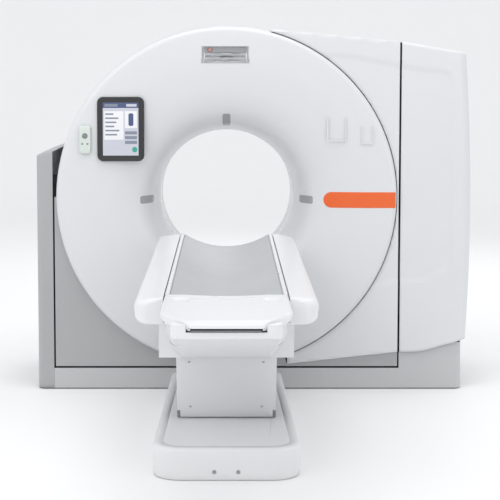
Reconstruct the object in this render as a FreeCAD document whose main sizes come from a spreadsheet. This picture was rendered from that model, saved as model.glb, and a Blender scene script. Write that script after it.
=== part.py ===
import FreeCAD, Part
import math
import os
import re
import Sketcher

# Tilting computed-tomography scanner with its patient table, in millimetres.
# Own frame: origin on the floor under the bore's centre, +Z up, +X to the right of a person who
# stands at the foot of the table, +Y from the table through the bore to the back of the gantry.

SIZES = {
    # bore and round front face
    "axis_z": 975, "bore_r": 350, "face_z": 990, "disc_r": 864, "face_y": 425, "disc_edge": 26,
    "cover_wall": 6, "crease_r": 690, "dish_r": 470, "dish_y": 400, "throat_r": 392, "throat_y": 330,
    "tunnel_y": 200, "window_y": 60, "disc_overlap": 90, "seat_gap": 0.3,
    # tilting unit's outer shroud and panels
    "funnel_staves": 24, "drum_staves": 12, "rim_lap": 5, "pulley_lip": 5, "upper_spare": 15,
    "upper_plan_low": 6,
    "unit_half": 876, "shroud_r": 866, "unit_bottom": 119, "unit_wall": 5, "panel_y": 385, "wing_x": 223,
    "wing_start_z": 1841,
    "wing_z": 1779,
    "panel_hole_r": 800, "panel_step_x": 280, "white_y": 402, "white_low_x": 310, "white_low_z": 133,
    "white_side_z": 195, "shadow_gap": 4, "badge_left": 492, "badge_right": 856, "badge_low": 939,
    "badge_high": 1019, "badge_thick": 2.2,
    # fixed gantry base, stands and outer covers
    "side_gap": 8, "plate_thick": 16, "plate_left": 960, "plate_right": 1196, "plate_y": 378.5,
    "anchor_x": 925, "anchor_y": 330, "anchor_r": 9, "stand_inner": 896, "stand_thick": 59,
    "stand_foot": 250, "stand_head": 110, "stand_top": 1085, "arm_low": 320, "arm_high": 40,
    "column_out": 967, "column_top": 1224,
    "column_corner": 28, "beam_low": 6, "beam_top": 109, "cabinet_out": 1204, "cabinet_corner": 30,
    "cabinet_wall": 5, "upper_y": 400, "upper_corner": 60, "upper_low_mid_x": 1160, "upper_low_mid_z": 246,
    "upper_low_out_x": 1230, "upper_low_out_z": 261, "upper_bulge_x": 1255, "upper_top_x": 1217,
    "upper_top_z": 1721, "cover_parting": 3,
    # tilt bearings and drive
    "trunnion_r": 60, "bearing_r": 85, "run_gap": 0.3, "trunnion_end": 945, "flange_r": 100,
    "flange_thick": 20, "gear_x": 962, "gear_thick": 15, "tilt_gear_r": 150, "pinion_r": 30,
    "mesh_gap": 0.5, "shaft_r": 12, "gearmotor_x": 1000, "gearmotor_long": 130, "gearmotor_r": 45,
    "bracket_thick": 18, "bracket_half": 50,
    # stator frame, main bearing and rotor
    "frame_y": 150, "frame_thick": 60, "frame_hole_r": 520, "frame_half": 830, "frame_side_low": 700,
    "frame_side_high": 1115, "frame_top_half": 420, "frame_top": 1700, "frame_foot_half": 700,
    "frame_foot": 260, "cheek_thick": 30, "cheek_front": 110, "cheek_low": 835, "lug_low": 710,
    "lug_high": 60, "race_mid": 470,
    "race_in": 400, "drum_r": 790, "drum_plate_y": 90, "drum_plate": 20, "drum_front": 60, "drum_rim": 10,
    "hub_r": 458, "slip_y": 224, "slip_thick": 16, "slip_r": 560, "brush_high": 100, "brush_half": 40,
    "brush_deep": 52, "tube_r": 85, "tube_front": 170, "tube_off": 610, "colli_low": 430,
    "colli_half": 110, "colli_front": 60, "slot_long": 60, "slot_half": 5, "detector_in": 540,
    "detector_out": 640, "detector_front": 40, "detector_half": 320, "module_in": 450, "module_out": 650,
    "module_front": 160, "generator_low": 250, "generator_high": 30, "cooler_low": 60, "cooler_high": 220,
    "pulley_r": 60, "pulley_x": 640, "pulley_drop": 640, "belt_gap": 0.3, "belt_thick": 3.7,
    "belt_front": 40, "belt_wide": 40, "motor_r": 70, "motor_front": 10,
    # windows, tray and accessories on the front face
    "laser_half": 20.5, "laser_in": 372, "laser_out": 440, "tray_left": 130, "tray_right": 118,
    "tray_low": 1669, "tray_high": 1756, "tray_deep": 30, "tray_wall": 6, "button_x": 83.5,
    "button_z": 1737, "button_r": 9, "button_front": 410, "button_long": 18, "button_gap": 0.4,
    "tablet_left": 651, "tablet_right": 414, "tablet_low": 1177, "tablet_high": 1501, "tablet_thick": 12,
    "tablet_bezel": 29, "screen_thick": 2, "tablet_round": 30, "remote_left": 741, "remote_right": 684,
    "remote_low": 1215, "remote_high": 1356, "remote_thick": 20, "seat_left": 507, "seat_right": 604,
    "seat_low": 1277, "seat_high": 1399, "small_left": 679, "small_right": 741, "small_low": 1262,
    "small_high": 1354, "seat_wall": 6, "seat_thick": 6,
    # power cabinet and floor duct
    "power_left": 985, "power_right": 1185, "power_y": 300, "power_high": 680, "duct_half": 60,
    "duct_high": 25,
    # table base and lifting column
    "base_far": 577, "base_front": 1972, "base_far_half": 272, "base_front_half": 300,
    "base_round": 110, "base_high": 131, "base_floor_gap": 2, "base_wall": 5, "base_plate_half": 250,
    "base_plate_far": 600, "base_plate_front": 1840, "base_plate_thick": 20, "table_anchor_x": 200,
    "table_anchor_y": 520, "table_anchor_r": 7, "column_mid_y": 1150, "column_half_x": 150,
    "column_half_y": 240, "column_wall": 12, "stage_gap": 0.5, "outer_top": 400, "middle_low": 180,
    "middle_top": 540, "inner_low": 330, "inner_top": 690, "bellows_half": 214, "bellows_far": 850,
    "bellows_front": 1475, "bellows_wall": 12, "shield_half": 214, "shield_y": 1482, "shield_lean": 128,
    "shield_top": 430, "shield_thick": 4,
    # raised table body
    "lift_plate_low": 716, "lift_plate_top": 728, "lift_plate_half": 278, "lift_far": 675,
    "lift_front": 2340, "tongue_half": 204.7, "side_beam_low": 640, "side_beam_in": 222,
    "front_beam_low": 650, "front_beam_in": 140, "front_beam_out": 200, "front_beam_end": 2300,
    "tub_half": 285, "tub_low": 430, "tub_wall": 5, "tub_top": 727, "tub_front": 1640,
    "tub_far_top": 622, "tub_far_mid": 664, "tub_mid_z": 600, "tub_far_low": 790, "tub_open_half": 196,
    "slot_far": 1478, "slot_front": 1634, "slot_half_x": 219, "tub_open_far": 870, "tub_open_front": 1455,
    "rail_in": 150, "rail_wide": 20, "rail_top": 742, "rail_far": 682, "rail_front": 2330,
    "wing_half": 336, "wing_far": 592, "wing_front": 2500, "wing_seam": 228, "wing_top": 828,
    "crown_x": 36, "crown_z": 6, "shoulder_x": 8, "shoulder_z": 18, "wing_side_z": 32, "wing_tuck": 4,
    "wing_foot_x": 16, "wing_foot_z": 15, "wing_lip": 12, "wing_wall": 5, "wing_root": 180,
    "chin_half": 210, "chin_wall": 5, "chin_back": 1645, "chin_lap": 9,
    "chin_tip": 2968, "chin_taper": 2640, "chin_nose_half": 182, "collar_far": 2740,
    "collar_top": 820, "foot_gap": 5, "chin_tip_low": 772, "chin_top": 790, "chin_step": 2522, "chin_rear_top": 727,
    # sliding tabletop
    "cradle_half": 225, "cradle_far": 555, "cradle_near": 2420, "cradle_edge_z": 828,
    "cradle_lip": 20, "cradle_lip_drop": 6, "cradle_dip": 60, "cradle_side_z": 800, "cradle_low": 750,
    "foot_straight": 2762, "foot_tip": 2979, "foot_tip_half": 118, "foot_low": 796,
    "foot_round": 420, "carriage_half": 190, "carriage_far": 2332, "carriage_near": 2416,
    "roller_r": 10, "roller_y": 702,
}

doc = FreeCAD.newDocument("ct_scanner")
sheet = doc.addObject("Spreadsheet::Sheet", "Sizes")
for row, (alias, number) in enumerate(SIZES.items(), start=1):
    sheet.set("A%d" % row, alias)
    sheet.set("B%d" % row, str(number))
    sheet.setAlias("B%d" % row, alias)
doc.recompute()

parts = []
WORD = re.compile(r"[a-z_]+[a-z0-9_]*")


def bound(formula):
    """A formula in sheet names, as an expression that FreeCAD can bind to."""
    return WORD.sub(lambda m: "Sizes." + m.group(0) if m.group(0) in SIZES else m.group(0), str(formula))


def value(formula):
    """The number that a formula in sheet names gives now."""
    return float(sheet.evalExpression(str(formula)))


def keep(feature, label):
    """Names a finished sub-part, so that it is checked and written."""
    feature.Label = label
    parts.append(feature)
    return feature


# ---------------------------------------------------------------- sketches and solids

ROLE = {"XY": "XY_Plane", "XZ": "XZ_Plane", "YZ": "YZ_Plane"}


def arc_through(start, end, radius, turn):
    """The short arc from start to end: turn is 1 for counter-clockwise and -1 for clockwise."""
    chord = end - start
    left = FreeCAD.Vector(-chord.y, chord.x, 0).normalize() * turn
    rise = math.sqrt(max(radius ** 2 - (chord.Length / 2) ** 2, 0))
    middle = start + chord * 0.5 + left * (rise - radius)
    return Part.Arc(start, middle, end)


def draw_outline(sketch, outline):
    """Draws one closed outline. A pair is a corner, ("arc", radius, turn) an arc to the next one."""
    if outline[0] == "circle":
        across, up, radius = outline[1:]
        centre = FreeCAD.Vector(value(across), value(up), 0)
        edge = sketch.addGeometry(Part.Circle(centre, FreeCAD.Vector(0, 0, 1), value(radius)), False)
        pin_point(sketch, edge, 3, across, up)
        size = sketch.addConstraint(Sketcher.Constraint("Radius", edge, value(radius)))
        sketch.setExpression("Constraints[%d]" % size, bound(radius))
        return
    corners = [item for item in outline if item[0] != "arc"]
    arcs = {}
    count = 0
    for item in outline:
        if item[0] == "arc":
            arcs[count - 1] = item
        else:
            count += 1
    spots = [FreeCAD.Vector(value(a), value(b), 0) for a, b in corners]
    ends = []
    for i, spot in enumerate(spots):
        following = spots[(i + 1) % len(spots)]
        if i in arcs:
            radius, turn = arcs[i][1:]
            edge = sketch.addGeometry(arc_through(spot, following, value(radius), turn), False)
            size = sketch.addConstraint(Sketcher.Constraint("Radius", edge, value(radius)))
            sketch.setExpression("Constraints[%d]" % size, bound(radius))
            ends.append((edge, 1, 2) if turn > 0 else (edge, 2, 1))
        else:
            edge = sketch.addGeometry(Part.LineSegment(spot, following), False)
            ends.append((edge, 1, 2))
    for i, (edge, first, last) in enumerate(ends):
        following = ends[(i + 1) % len(ends)]
        sketch.addConstraint(Sketcher.Constraint("Coincident", edge, last, following[0], following[1]))
    for i, (across, up) in enumerate(corners):
        pin_point(sketch, ends[i][0], ends[i][1], across, up)


def pin_point(sketch, edge, vertex, across, up):
    """Ties a point of the sketch to two formulas, measured from the sketch's origin."""
    for kind, formula in (("DistanceX", across), ("DistanceY", up)):
        size = sketch.addConstraint(Sketcher.Constraint(kind, -1, 1, edge, vertex, value(formula)))
        sketch.setExpression("Constraints[%d]" % size, bound(formula))


def new_sketch(name, plane, outlines, normal="0", up="0"):
    """A body with one sketch on its origin plane, moved along the plane's normal and upwards."""
    body = doc.addObject("PartDesign::Body", name)
    sketch = body.newObject("Sketcher::SketchObject", name + "_sketch")
    support = [item for item in body.Origin.OriginFeatures if item.Role == ROLE[plane]][0]
    sketch.AttachmentSupport = [(support, "")]
    sketch.MapMode = "FlatFace"
    sketch.setExpression("AttachmentOffset.Base.z", bound(normal))
    sketch.setExpression("AttachmentOffset.Base.y", bound(up))
    for outline in outlines:
        draw_outline(sketch, outline)
    return body, sketch


def prism(name, plane, outlines, start, end):
    """Outlines on a plane, padded from start to end along the third axis."""
    along = "-(%s)" % end if plane == "XZ" else start
    body, sketch = new_sketch(name, plane, outlines, along)
    pad = body.newObject("PartDesign::Pad", name + "_pad")
    pad.Profile = sketch
    pad.setExpression("Length", bound("(%s) - (%s)" % (end, start)))
    return body


def turned(name, outline, height):
    """An outline of (y, radius) corners, turned about the Y direction at a height."""
    body, sketch = new_sketch(name, "YZ", [outline], "0", height)
    turn = body.newObject("PartDesign::Revolution", name + "_turn")
    turn.Profile = sketch
    turn.ReferenceAxis = (sketch, ["H_Axis"])
    turn.Angle = 360
    return body


def block(name, left, right, front, back, low, high):
    """A box between two formulas on each axis."""
    box = doc.addObject("Part::Box", name)
    for side, first, last, place in (("Length", left, right, "x"), ("Width", front, back, "y"),
                                     ("Height", low, high, "z")):
        box.setExpression(side, bound("(%s) - (%s)" % (last, first)))
        box.setExpression("Placement.Base." + place, bound(first))
    return box


def rod(name, axis, radius, start, end, across, up):
    """A cylinder along X or Y from start to end; across is its other level place."""
    bar = doc.addObject("Part::Cylinder", name)
    normal = FreeCAD.Vector(1, 0, 0) if axis == "X" else FreeCAD.Vector(0, 1, 0)
    bar.Placement.Rotation = FreeCAD.Rotation(FreeCAD.Vector(0, 0, 1), normal)
    bar.setExpression("Radius", bound(radius))
    bar.setExpression("Height", bound("(%s) - (%s)" % (end, start)))
    places = (start, across) if axis == "X" else (across, start)
    bar.setExpression("Placement.Base.x", bound(places[0]))
    bar.setExpression("Placement.Base.y", bound(places[1]))
    bar.setExpression("Placement.Base.z", bound(up))
    return bar


def fuse(name, shapes):
    joined = doc.addObject("Part::MultiFuse", name)
    joined.Shapes = shapes
    joined.Refine = True
    return joined


def cut(name, base, tool):
    rest = doc.addObject("Part::Cut", name)
    rest.Base = base
    rest.Tool = tool
    return rest


def common(name, first, second):
    both = doc.addObject("Part::Common", name)
    both.Base = first
    both.Tool = second
    return both


def group(name, shapes):
    """Like pieces that share one node, each still a solid of its own."""
    several = doc.addObject("Part::Compound", name)
    several.Links = shapes
    return several


def staves(name, shape, count, radius, start, end):
    """A round wall parted into equal sectors about the bore, which meet face to face."""
    pieces = []
    step = 360 / value(count)
    for i in range(int(value(count))):
        sector = rod("%s_sector_%d" % (name, i), "Y", radius, start, end, "0", "axis_z")
        sector.setExpression("Angle", bound("360 / " + count))
        turn = FreeCAD.Rotation(FreeCAD.Vector(0, 0, 1), step * (i + 0.5))
        sector.Placement.Rotation = sector.Placement.Rotation * turn
        pieces.append(common("%s_%d" % (name, i), shape, sector))
    return group(name, pieces)


def rectangle(left, right, low, high):
    return [(left, low), (right, low), (right, high), (left, high)]


def rounded(left, right, low, high, turn):
    """A rectangle with four round corners."""
    return [(left + " + " + turn, low), (right + " - " + turn, low), ("arc", turn, 1),
            (right, low + " + " + turn), (right, high + " - " + turn), ("arc", turn, 1),
            (right + " - " + turn, high), (left + " + " + turn, high), ("arc", turn, 1),
            (left, high + " - " + turn), (left, low + " + " + turn), ("arc", turn, 1)]


# ---------------------------------------------------------------- fixed gantry base

plate_holes = [("circle", side + "anchor_x", end + "anchor_y", "anchor_r") for side in ("-", "") for end in ("-", "")]
plate_edge = rounded("-plate_left", "plate_right", "-plate_y", "plate_y", "column_corner")
keep(prism("base_plate", "XY", [plate_edge] + plate_holes,
           "0", "plate_thick"), "gantry_base_plate")

stand_outline = [("-stand_foot", "plate_thick"), ("stand_foot", "plate_thick"), ("stand_head", "stand_top"),
                 ("-stand_head", "stand_top")]
stand_bore = ("circle", "0", "axis_z", "bearing_r")
keep(prism("stand_l", "YZ", [stand_outline, stand_bore], "-(stand_inner + stand_thick)", "-stand_inner"),
     "left_stand")
stand_plate = prism("stand_r", "YZ", [stand_outline, stand_bore], "stand_inner", "stand_inner + stand_thick")
cover_arm = block("cover_arm", "stand_inner", "stand_inner + stand_thick", "-upper_y + cabinet_wall + seat_gap",
                  "upper_y - cabinet_wall - seat_gap", "arm_low", "arm_low + arm_high")
keep(fuse("stand_r_arm", [stand_plate, cover_arm]), "right_stand")

race_outlines = [("circle", "0", "axis_z", "bearing_r - run_gap"),
                 ("circle", "0", "axis_z", "trunnion_r + run_gap")]
races = [prism("race_l", "YZ", race_outlines, "-(stand_inner + stand_thick)", "-stand_inner"),
         prism("race_r", "YZ", race_outlines, "stand_inner", "stand_inner + stand_thick")]
keep(group("races", races), "trunnion_bearings")

motor_axis_z = "axis_z - tilt_gear_r - mesh_gap - pinion_r"
gearmotor_body = rod("gearmotor_body", "X", "gearmotor_r", "gearmotor_x", "gearmotor_x + gearmotor_long", "0",
                     motor_axis_z)
gearmotor_arm = block("gearmotor_arm", "stand_inner + stand_thick", "gearmotor_x + gearmotor_long",
                      "-bracket_half", "bracket_half",
                      motor_axis_z + " - gearmotor_r - bracket_thick / 2",
                      motor_axis_z + " - gearmotor_r + bracket_thick / 2")
keep(fuse("gearmotor", [gearmotor_body, gearmotor_arm]), "tilt_gearmotor")

pinion_rim = rod("pinion_rim", "X", "pinion_r", "gear_x", "gear_x + gear_thick", "0", motor_axis_z)
pinion_shaft = rod("pinion_shaft", "X", "shaft_r", "gear_x", "gearmotor_x - seat_gap", "0", motor_axis_z)
keep(fuse("pinion", [pinion_rim, pinion_shaft]), "tilt_pinion")

keep(block("power_box", "power_left", "power_right", "-power_y", "power_y", "plate_thick", "power_high"),
     "power_cabinet")

# ---------------------------------------------------------------- fixed gantry covers

fixed_in = "(unit_half + side_gap)"


def column_plan(inset, open_side):
    """Plan of the left column: rounded outer corners, and the open side towards the bore."""
    out = "-(column_out - %s)" % inset
    side = "(panel_y - %s)" % inset
    turn = "(column_corner - %s)" % inset
    return [(open_side, "-" + side), (open_side, side), (out + " + " + turn, side),
            ("arc", turn, 1), (out, side + " - " + turn), (out, "-%s + %s" % (side, turn)),
            ("arc", turn, 1), (out + " + " + turn, "-" + side)]


column_skin = prism("column_skin", "XY", [column_plan("0", "-" + fixed_in)], "beam_low", "column_top")
column_void = prism("column_void", "XY", [column_plan("cabinet_wall", "-unit_half")], "beam_low - 1",
                    "column_top - cabinet_wall")
keep(cut("column_shell", column_skin, column_void), "left_column_cover")

keep(block("beam_f", "-" + fixed_in, fixed_in, "-panel_y", "-panel_y + cover_wall", "beam_low", "beam_top"),
     "front_beam_cover")
keep(block("beam_b", "-" + fixed_in, fixed_in, "panel_y - cover_wall", "panel_y", "beam_low", "beam_top"),
     "rear_beam_cover")


def cabinet_plan(inset, out, half, corner, open_side):
    """Plan of a right-hand cabinet cover, open towards the bore."""
    side = "(%s - %s)" % (half, inset)
    turn = "(%s - %s)" % (corner, inset)
    edge = "(%s - %s)" % (out, inset)
    return [(open_side, "-" + side), (edge + " - " + turn, "-" + side), ("arc", turn, 1),
            (edge, "-%s + %s" % (side, turn)), (edge, "%s - %s" % (side, turn)), ("arc", turn, 1),
            (edge + " - " + turn, side), (open_side, side)]


# The two cabinet covers meet along one sweeping line, which the lower one follows with a parting gap.
slope_low = "(upper_low_mid_z - white_side_z) / (upper_low_mid_x - unit_half)"
parting_in_z = "(white_side_z + (%s - unit_half) * (%s))" % (fixed_in, slope_low)
lower_face = [(fixed_in, "beam_low"), ("cabinet_out", "beam_low"),
              ("cabinet_out", "upper_low_mid_z - cover_parting"),
              ("upper_low_mid_x", "upper_low_mid_z - cover_parting"), (fixed_in, parting_in_z + " - cover_parting")]
lower_skin = prism("lower_skin", "XY", [cabinet_plan("0", "cabinet_out", "panel_y", "cabinet_corner", fixed_in)],
                   "beam_low", "upper_low_out_z")
lower_void = prism("lower_void", "XY", [cabinet_plan("cabinet_wall", "cabinet_out", "panel_y", "cabinet_corner",
                                                     "unit_half")], "beam_low - 1", "upper_low_out_z + 1")
lower_trim = prism("lower_trim", "XZ", [lower_face], "-face_y", "face_y")
keep(common("lower_shell", cut("lower_walls", lower_skin, lower_void), lower_trim), "cabinet_lower_cover")


def upper_face(inset, inner, below):
    """Front view of the upper cabinet cover, with its bulged side and sloping top."""
    rise = "(wing_z - upper_top_z) / (upper_top_x - unit_half)"
    return [(inner, "%s - %s" % (parting_in_z, below)), ("upper_low_mid_x", "upper_low_mid_z - %s" % below),
            ("upper_low_out_x - %s" % inset, "upper_low_out_z - %s" % below),
            ("upper_bulge_x - %s" % inset, "axis_z"), ("upper_top_x - %s" % inset, "upper_top_z - %s" % inset),
            (inner, "wing_z - (%s - unit_half) * (%s) - %s" % (inner, rise, inset))]


upper_skin = common("upper_skin",
                    prism("upper_plan", "XY", [cabinet_plan("0", "upper_bulge_x + upper_spare", "upper_y",
                                                            "upper_corner", fixed_in)],
                          "upper_plan_low", "wing_z"),
                    prism("upper_front", "XZ", [upper_face("0", fixed_in, "0")], "-face_y", "face_y"))
upper_void = common("upper_void",
                    prism("upper_plan_in", "XY", [cabinet_plan("cabinet_wall", "upper_bulge_x + upper_spare",
                                                               "upper_y", "upper_corner", "unit_half")],
                          "upper_plan_low - 1", "wing_z"),
                    prism("upper_front_in", "XZ", [upper_face("cabinet_wall", "unit_half", "cabinet_wall")],
                          "-face_y", "face_y"))
keep(cut("upper_shell", upper_skin, upper_void), "cabinet_upper_cover")

# ---------------------------------------------------------------- tilting frame, trunnions and bearing

frame_back = "(frame_y + frame_thick)"
frame_outline = [("-frame_foot_half", "frame_foot"), ("frame_foot_half", "frame_foot"),
                 ("frame_half", "frame_side_low"), ("frame_half", "frame_side_high"),
                 ("frame_top_half", "frame_top"), ("-frame_top_half", "frame_top"),
                 ("-frame_half", "frame_side_high"), ("-frame_half", "frame_side_low")]
frame_ring = prism("frame_ring", "XZ", [frame_outline, ("circle", "0", "axis_z", "frame_hole_r")],
                   "frame_y", frame_back)
cheeks = [block("cheek_r", "frame_half - cheek_thick", "frame_half", "-cheek_front", "frame_y + 1",
                "cheek_low", "frame_side_high"),
          block("cheek_l", "-frame_half", "-(frame_half - cheek_thick)", "-cheek_front", "frame_y + 1",
                "cheek_low", "frame_side_high")]
cover_in = "unit_half - unit_wall - seat_gap"
lugs = [block("lug_r", "frame_half - 1", cover_in, "frame_y", frame_back, "lug_low", "lug_low + lug_high"),
        block("lug_l", "-(%s)" % cover_in, "-frame_half + 1", "frame_y", frame_back, "lug_low", "lug_low + lug_high")]
keep(fuse("stator", [frame_ring] + cheeks + lugs), "stator_frame")

left_stub = rod("left_stub", "X", "trunnion_r", "-trunnion_end", "-frame_half", "0", "axis_z")
left_flange = rod("left_flange", "X", "flange_r", "-(frame_half + flange_thick)", "-frame_half", "0", "axis_z")
keep(fuse("trunnion_l", [left_stub, left_flange]), "left_trunnion")

right_stub = rod("right_stub", "X", "trunnion_r", "frame_half", "gear_x + gear_thick", "0", "axis_z")
right_flange = rod("right_flange", "X", "flange_r", "frame_half", "frame_half + flange_thick", "0", "axis_z")
right_gear = rod("right_gear", "X", "tilt_gear_r", "gear_x", "gear_x + gear_thick", "0", "axis_z")
keep(fuse("trunnion_r_gear", [right_stub, right_flange, right_gear]), "right_trunnion_gear")


def ring(name, inner, outer, front, back):
    """A plain ring about the bore's axis."""
    return prism(name, "XZ", [("circle", "0", "axis_z", outer), ("circle", "0", "axis_z", inner)], front, back)


keep(ring("race_fixed", "race_mid + run_gap", "frame_hole_r - run_gap", "frame_y", frame_back),
     "main_bearing_outer")
keep(ring("race_turning", "race_in", "race_mid - run_gap", "frame_y", frame_back), "main_bearing_inner")

# ---------------------------------------------------------------- rotor

drum_back = "(drum_plate_y + drum_plate)"
drum = turned("drum", [("drum_plate_y", "race_in"), ("frame_y", "race_in"), ("frame_y", "hub_r"),
                     (drum_back, "hub_r"), (drum_back, "drum_r"), ("-drum_front", "drum_r"),
                     ("-drum_front", "drum_r - drum_rim"), ("drum_plate_y", "drum_r - drum_rim")], "axis_z")
keep(staves("drum_sectors", drum, "drum_staves", "drum_r + 1", "-drum_front - 1", "frame_y + 1"), "rotor_drum")

keep(turned("slip", [(frame_back, "race_in"), ("slip_y + slip_thick", "race_in"),
                     ("slip_y + slip_thick", "slip_r"), ("slip_y", "slip_r"), ("slip_y", "hub_r"),
                     (frame_back, "hub_r")], "axis_z"), "slip_ring")

keep(rod("tube", "Y", "tube_r", "-tube_front", "drum_plate_y", "0", "axis_z + tube_off"), "xray_tube")

colli_body = block("colli_body", "-colli_half", "colli_half", "-colli_front", "drum_plate_y",
                   "axis_z + colli_low", "axis_z + tube_off - tube_r - seat_gap")
colli_slot = block("colli_slot", "-slot_long", "slot_long", "-slot_half", "slot_half",
                   "axis_z + colli_low - 1", "axis_z + tube_off")
keep(cut("colli", colli_body, colli_slot), "collimator")


def sector_z(radius):
    """Height of the detector's end face at a radius, level with its half width."""
    return "axis_z - sqrt((%s)^2 - detector_half^2)" % radius


keep(prism("detector_arc", "XZ", [[("-detector_half", sector_z("detector_out")), ("arc", "detector_out", 1),
                                   ("detector_half", sector_z("detector_out")),
                                   ("detector_half", sector_z("detector_in")), ("arc", "detector_in", -1),
                                   ("-detector_half", sector_z("detector_in"))]],
           "-detector_front", "drum_plate_y"), "detector_array")

keep(block("hv_box", "module_in", "module_out", "-module_front", "drum_plate_y",
           "axis_z - generator_low", "axis_z + generator_high"), "hv_generator")
keep(block("cooler_box", "-module_out", "-module_in", "-module_front", "drum_plate_y",
           "axis_z - cooler_low", "axis_z + cooler_high"), "tube_cooler")

keep(block("brushes", "-brush_half", "brush_half", frame_back, frame_back + " + brush_deep",
           "axis_z + slip_r + seat_gap", "axis_z + slip_r + brush_high"), "slip_ring_brushes")

# ---------------------------------------------------------------- rotor drive

pulley_z = "(axis_z - pulley_drop)"
keep(rod("rotor_drive", "Y", "motor_r", "motor_front", "frame_y", "-pulley_x", pulley_z), "rotor_motor")
pulley_rim = rod("pulley_rim", "Y", "pulley_r", "-belt_front - pulley_lip", "motor_front - pulley_lip", "-pulley_x", pulley_z)
pulley_shaft = rod("pulley_shaft", "Y", "shaft_r", "-belt_front", "motor_front - seat_gap", "-pulley_x", pulley_z)
keep(fuse("pulley", [pulley_rim, pulley_shaft]), "motor_pulley")

# The belt's straight runs touch both rims where one common normal does.
belt_span = "sqrt(pulley_x^2 + pulley_drop^2)"
belt_lean = "((drum_r - pulley_r) / %s)" % belt_span
belt_side = "sqrt(1 - %s^2)" % belt_lean
unit_x = "(-pulley_x / %s)" % belt_span
unit_z = "(-pulley_drop / %s)" % belt_span
touch_a = ("(%s * %s - %s * %s)" % (unit_x, belt_lean, unit_z, belt_side),
           "(%s * %s + %s * %s)" % (unit_z, belt_lean, unit_x, belt_side))
touch_b = ("(%s * %s + %s * %s)" % (unit_x, belt_lean, unit_z, belt_side),
           "(%s * %s - %s * %s)" % (unit_z, belt_lean, unit_x, belt_side))


def belt_loop(off):
    """The belt's path at a distance outside both rims; the long way round is two arcs."""
    big = "(drum_r + %s)" % off
    small = "(pulley_r + %s)" % off
    far_x = "-(%s) * %s" % (unit_x, big)
    far_z = "axis_z - (%s) * %s" % (unit_z, big)
    return [(touch_a[0] + " * " + big, "axis_z + %s * %s" % (touch_a[1], big)), ("arc", big, 1),
            (far_x, far_z), ("arc", big, 1),
            (touch_b[0] + " * " + big, "axis_z + %s * %s" % (touch_b[1], big)),
            ("-pulley_x + %s * %s" % (touch_b[0], small), "%s + %s * %s" % (pulley_z, touch_b[1], small)),
            ("arc", small, 1),
            ("-pulley_x + %s * %s" % (touch_a[0], small), "%s + %s * %s" % (pulley_z, touch_a[1], small))]


keep(prism("belt", "XZ", [belt_loop("(belt_gap + belt_thick)"), belt_loop("belt_gap")],
           "-belt_front", "-belt_front + belt_wide"), "rotor_belt")

# ---------------------------------------------------------------- tilting covers

funnel = turned("funnel", [("-face_y", "crease_r + disc_overlap"), ("-face_y", "crease_r"),
                           ("-dish_y", "dish_r"), ("-throat_y", "throat_r"), ("-tunnel_y", "bore_r"),
                           ("-window_y", "bore_r"), ("-window_y", "bore_r + cover_wall"),
                           ("-tunnel_y + 1", "bore_r + cover_wall"),
                           ("-throat_y + cover_wall * 0.6", "throat_r + cover_wall"),
                           ("-dish_y + cover_wall", "dish_r + cover_wall * 0.6"),
                           ("-face_y + cover_wall", "crease_r"),
                           ("-face_y + cover_wall", "crease_r + disc_overlap")], "axis_z")
rim_y = "(face_y - disc_edge)"
rim_back = "(panel_y + seat_gap)"
disc_rim = turned("disc_rim", [("-face_y", "crease_r + disc_overlap - face_z + axis_z - rim_lap"),
                               ("-face_y", "disc_r - disc_edge"), ("arc", "disc_edge", -1),
                               ("-" + rim_y, "disc_r"), ("-" + rim_back, "disc_r"),
                               ("-" + rim_back, "disc_r - cover_wall"), ("-" + rim_y, "disc_r - cover_wall"),
                               ("arc", "disc_edge - cover_wall", 1),
                               ("-face_y + cover_wall", "disc_r - disc_edge"),
                               ("-face_y + cover_wall", "crease_r + disc_overlap - face_z + axis_z - rim_lap")],
                  "face_z")
disc_shell = fuse("disc_shell", [funnel, disc_rim])


def radial_box(name, left, right, low, high, inset="0"):
    """A box through the front face, between two formulas across and two upwards."""
    return block(name, left + " + " + inset, right + " - " + inset, "-face_y - 1", "-tunnel_y",
                 low + " + " + inset, high + " - " + inset)


laser_places = {
    "top": ("-laser_half", "laser_half", "axis_z + laser_in", "axis_z + laser_out"),
    "left": ("-laser_out", "-laser_in", "axis_z - laser_half", "axis_z + laser_half"),
    "right": ("laser_in", "laser_out", "axis_z - laser_half", "axis_z + laser_half"),
}
holes = [radial_box("laser_hole_" + side, *place) for side, place in laser_places.items()]
panes = [common("laser_pane_" + side, funnel, radial_box("laser_fill_" + side, *place, "seat_gap"))
         for side, place in laser_places.items()]
tray_hole = block("tray_hole", "-tray_left", "tray_right", "-face_y - 1", "-face_y + tray_deep + 1",
                  "tray_low", "tray_high")
disc_cut = cut("disc_cut", disc_shell, fuse("disc_holes", holes + [tray_hole]))
dish_core = rod("dish_core", "Y", "dish_r", "-face_y - 1", "0", "0", "axis_z")
keep(cut("disc_face", disc_cut, dish_core), "front_cover")
keep(staves("front_staves", disc_cut, "funnel_staves", "dish_r", "-face_y - 1", "0"), "front_funnel")
keep(group("laser_panes", panes), "laser_windows")
keep(ring("scan_ring", "bore_r", "bore_r + cover_wall", "-window_y + seat_gap", "window_y - seat_gap"), "scan_window")

tray_body = block("tray_body", "-tray_left + seat_gap", "tray_right - seat_gap", "-face_y", "-face_y + tray_deep",
                  "tray_low + seat_gap", "tray_high - seat_gap")
tray_void = block("tray_void", "-tray_left + tray_wall", "tray_right - tray_wall", "-face_y - 1",
                  "-face_y + tray_deep - tray_wall", "tray_low + tray_wall", "tray_high - tray_wall")
tray_bore = rod("tray_bore", "Y", "button_r + button_gap", "-face_y", "-face_y + tray_deep + 1", "-button_x",
                "button_z")
keep(cut("tray", tray_body, fuse("tray_cuts", [tray_void, tray_bore])), "control_tray")
keep(rod("button", "Y", "button_r", "-button_front", "-button_front + button_long", "-button_x", "button_z"),
     "tray_button")


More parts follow.
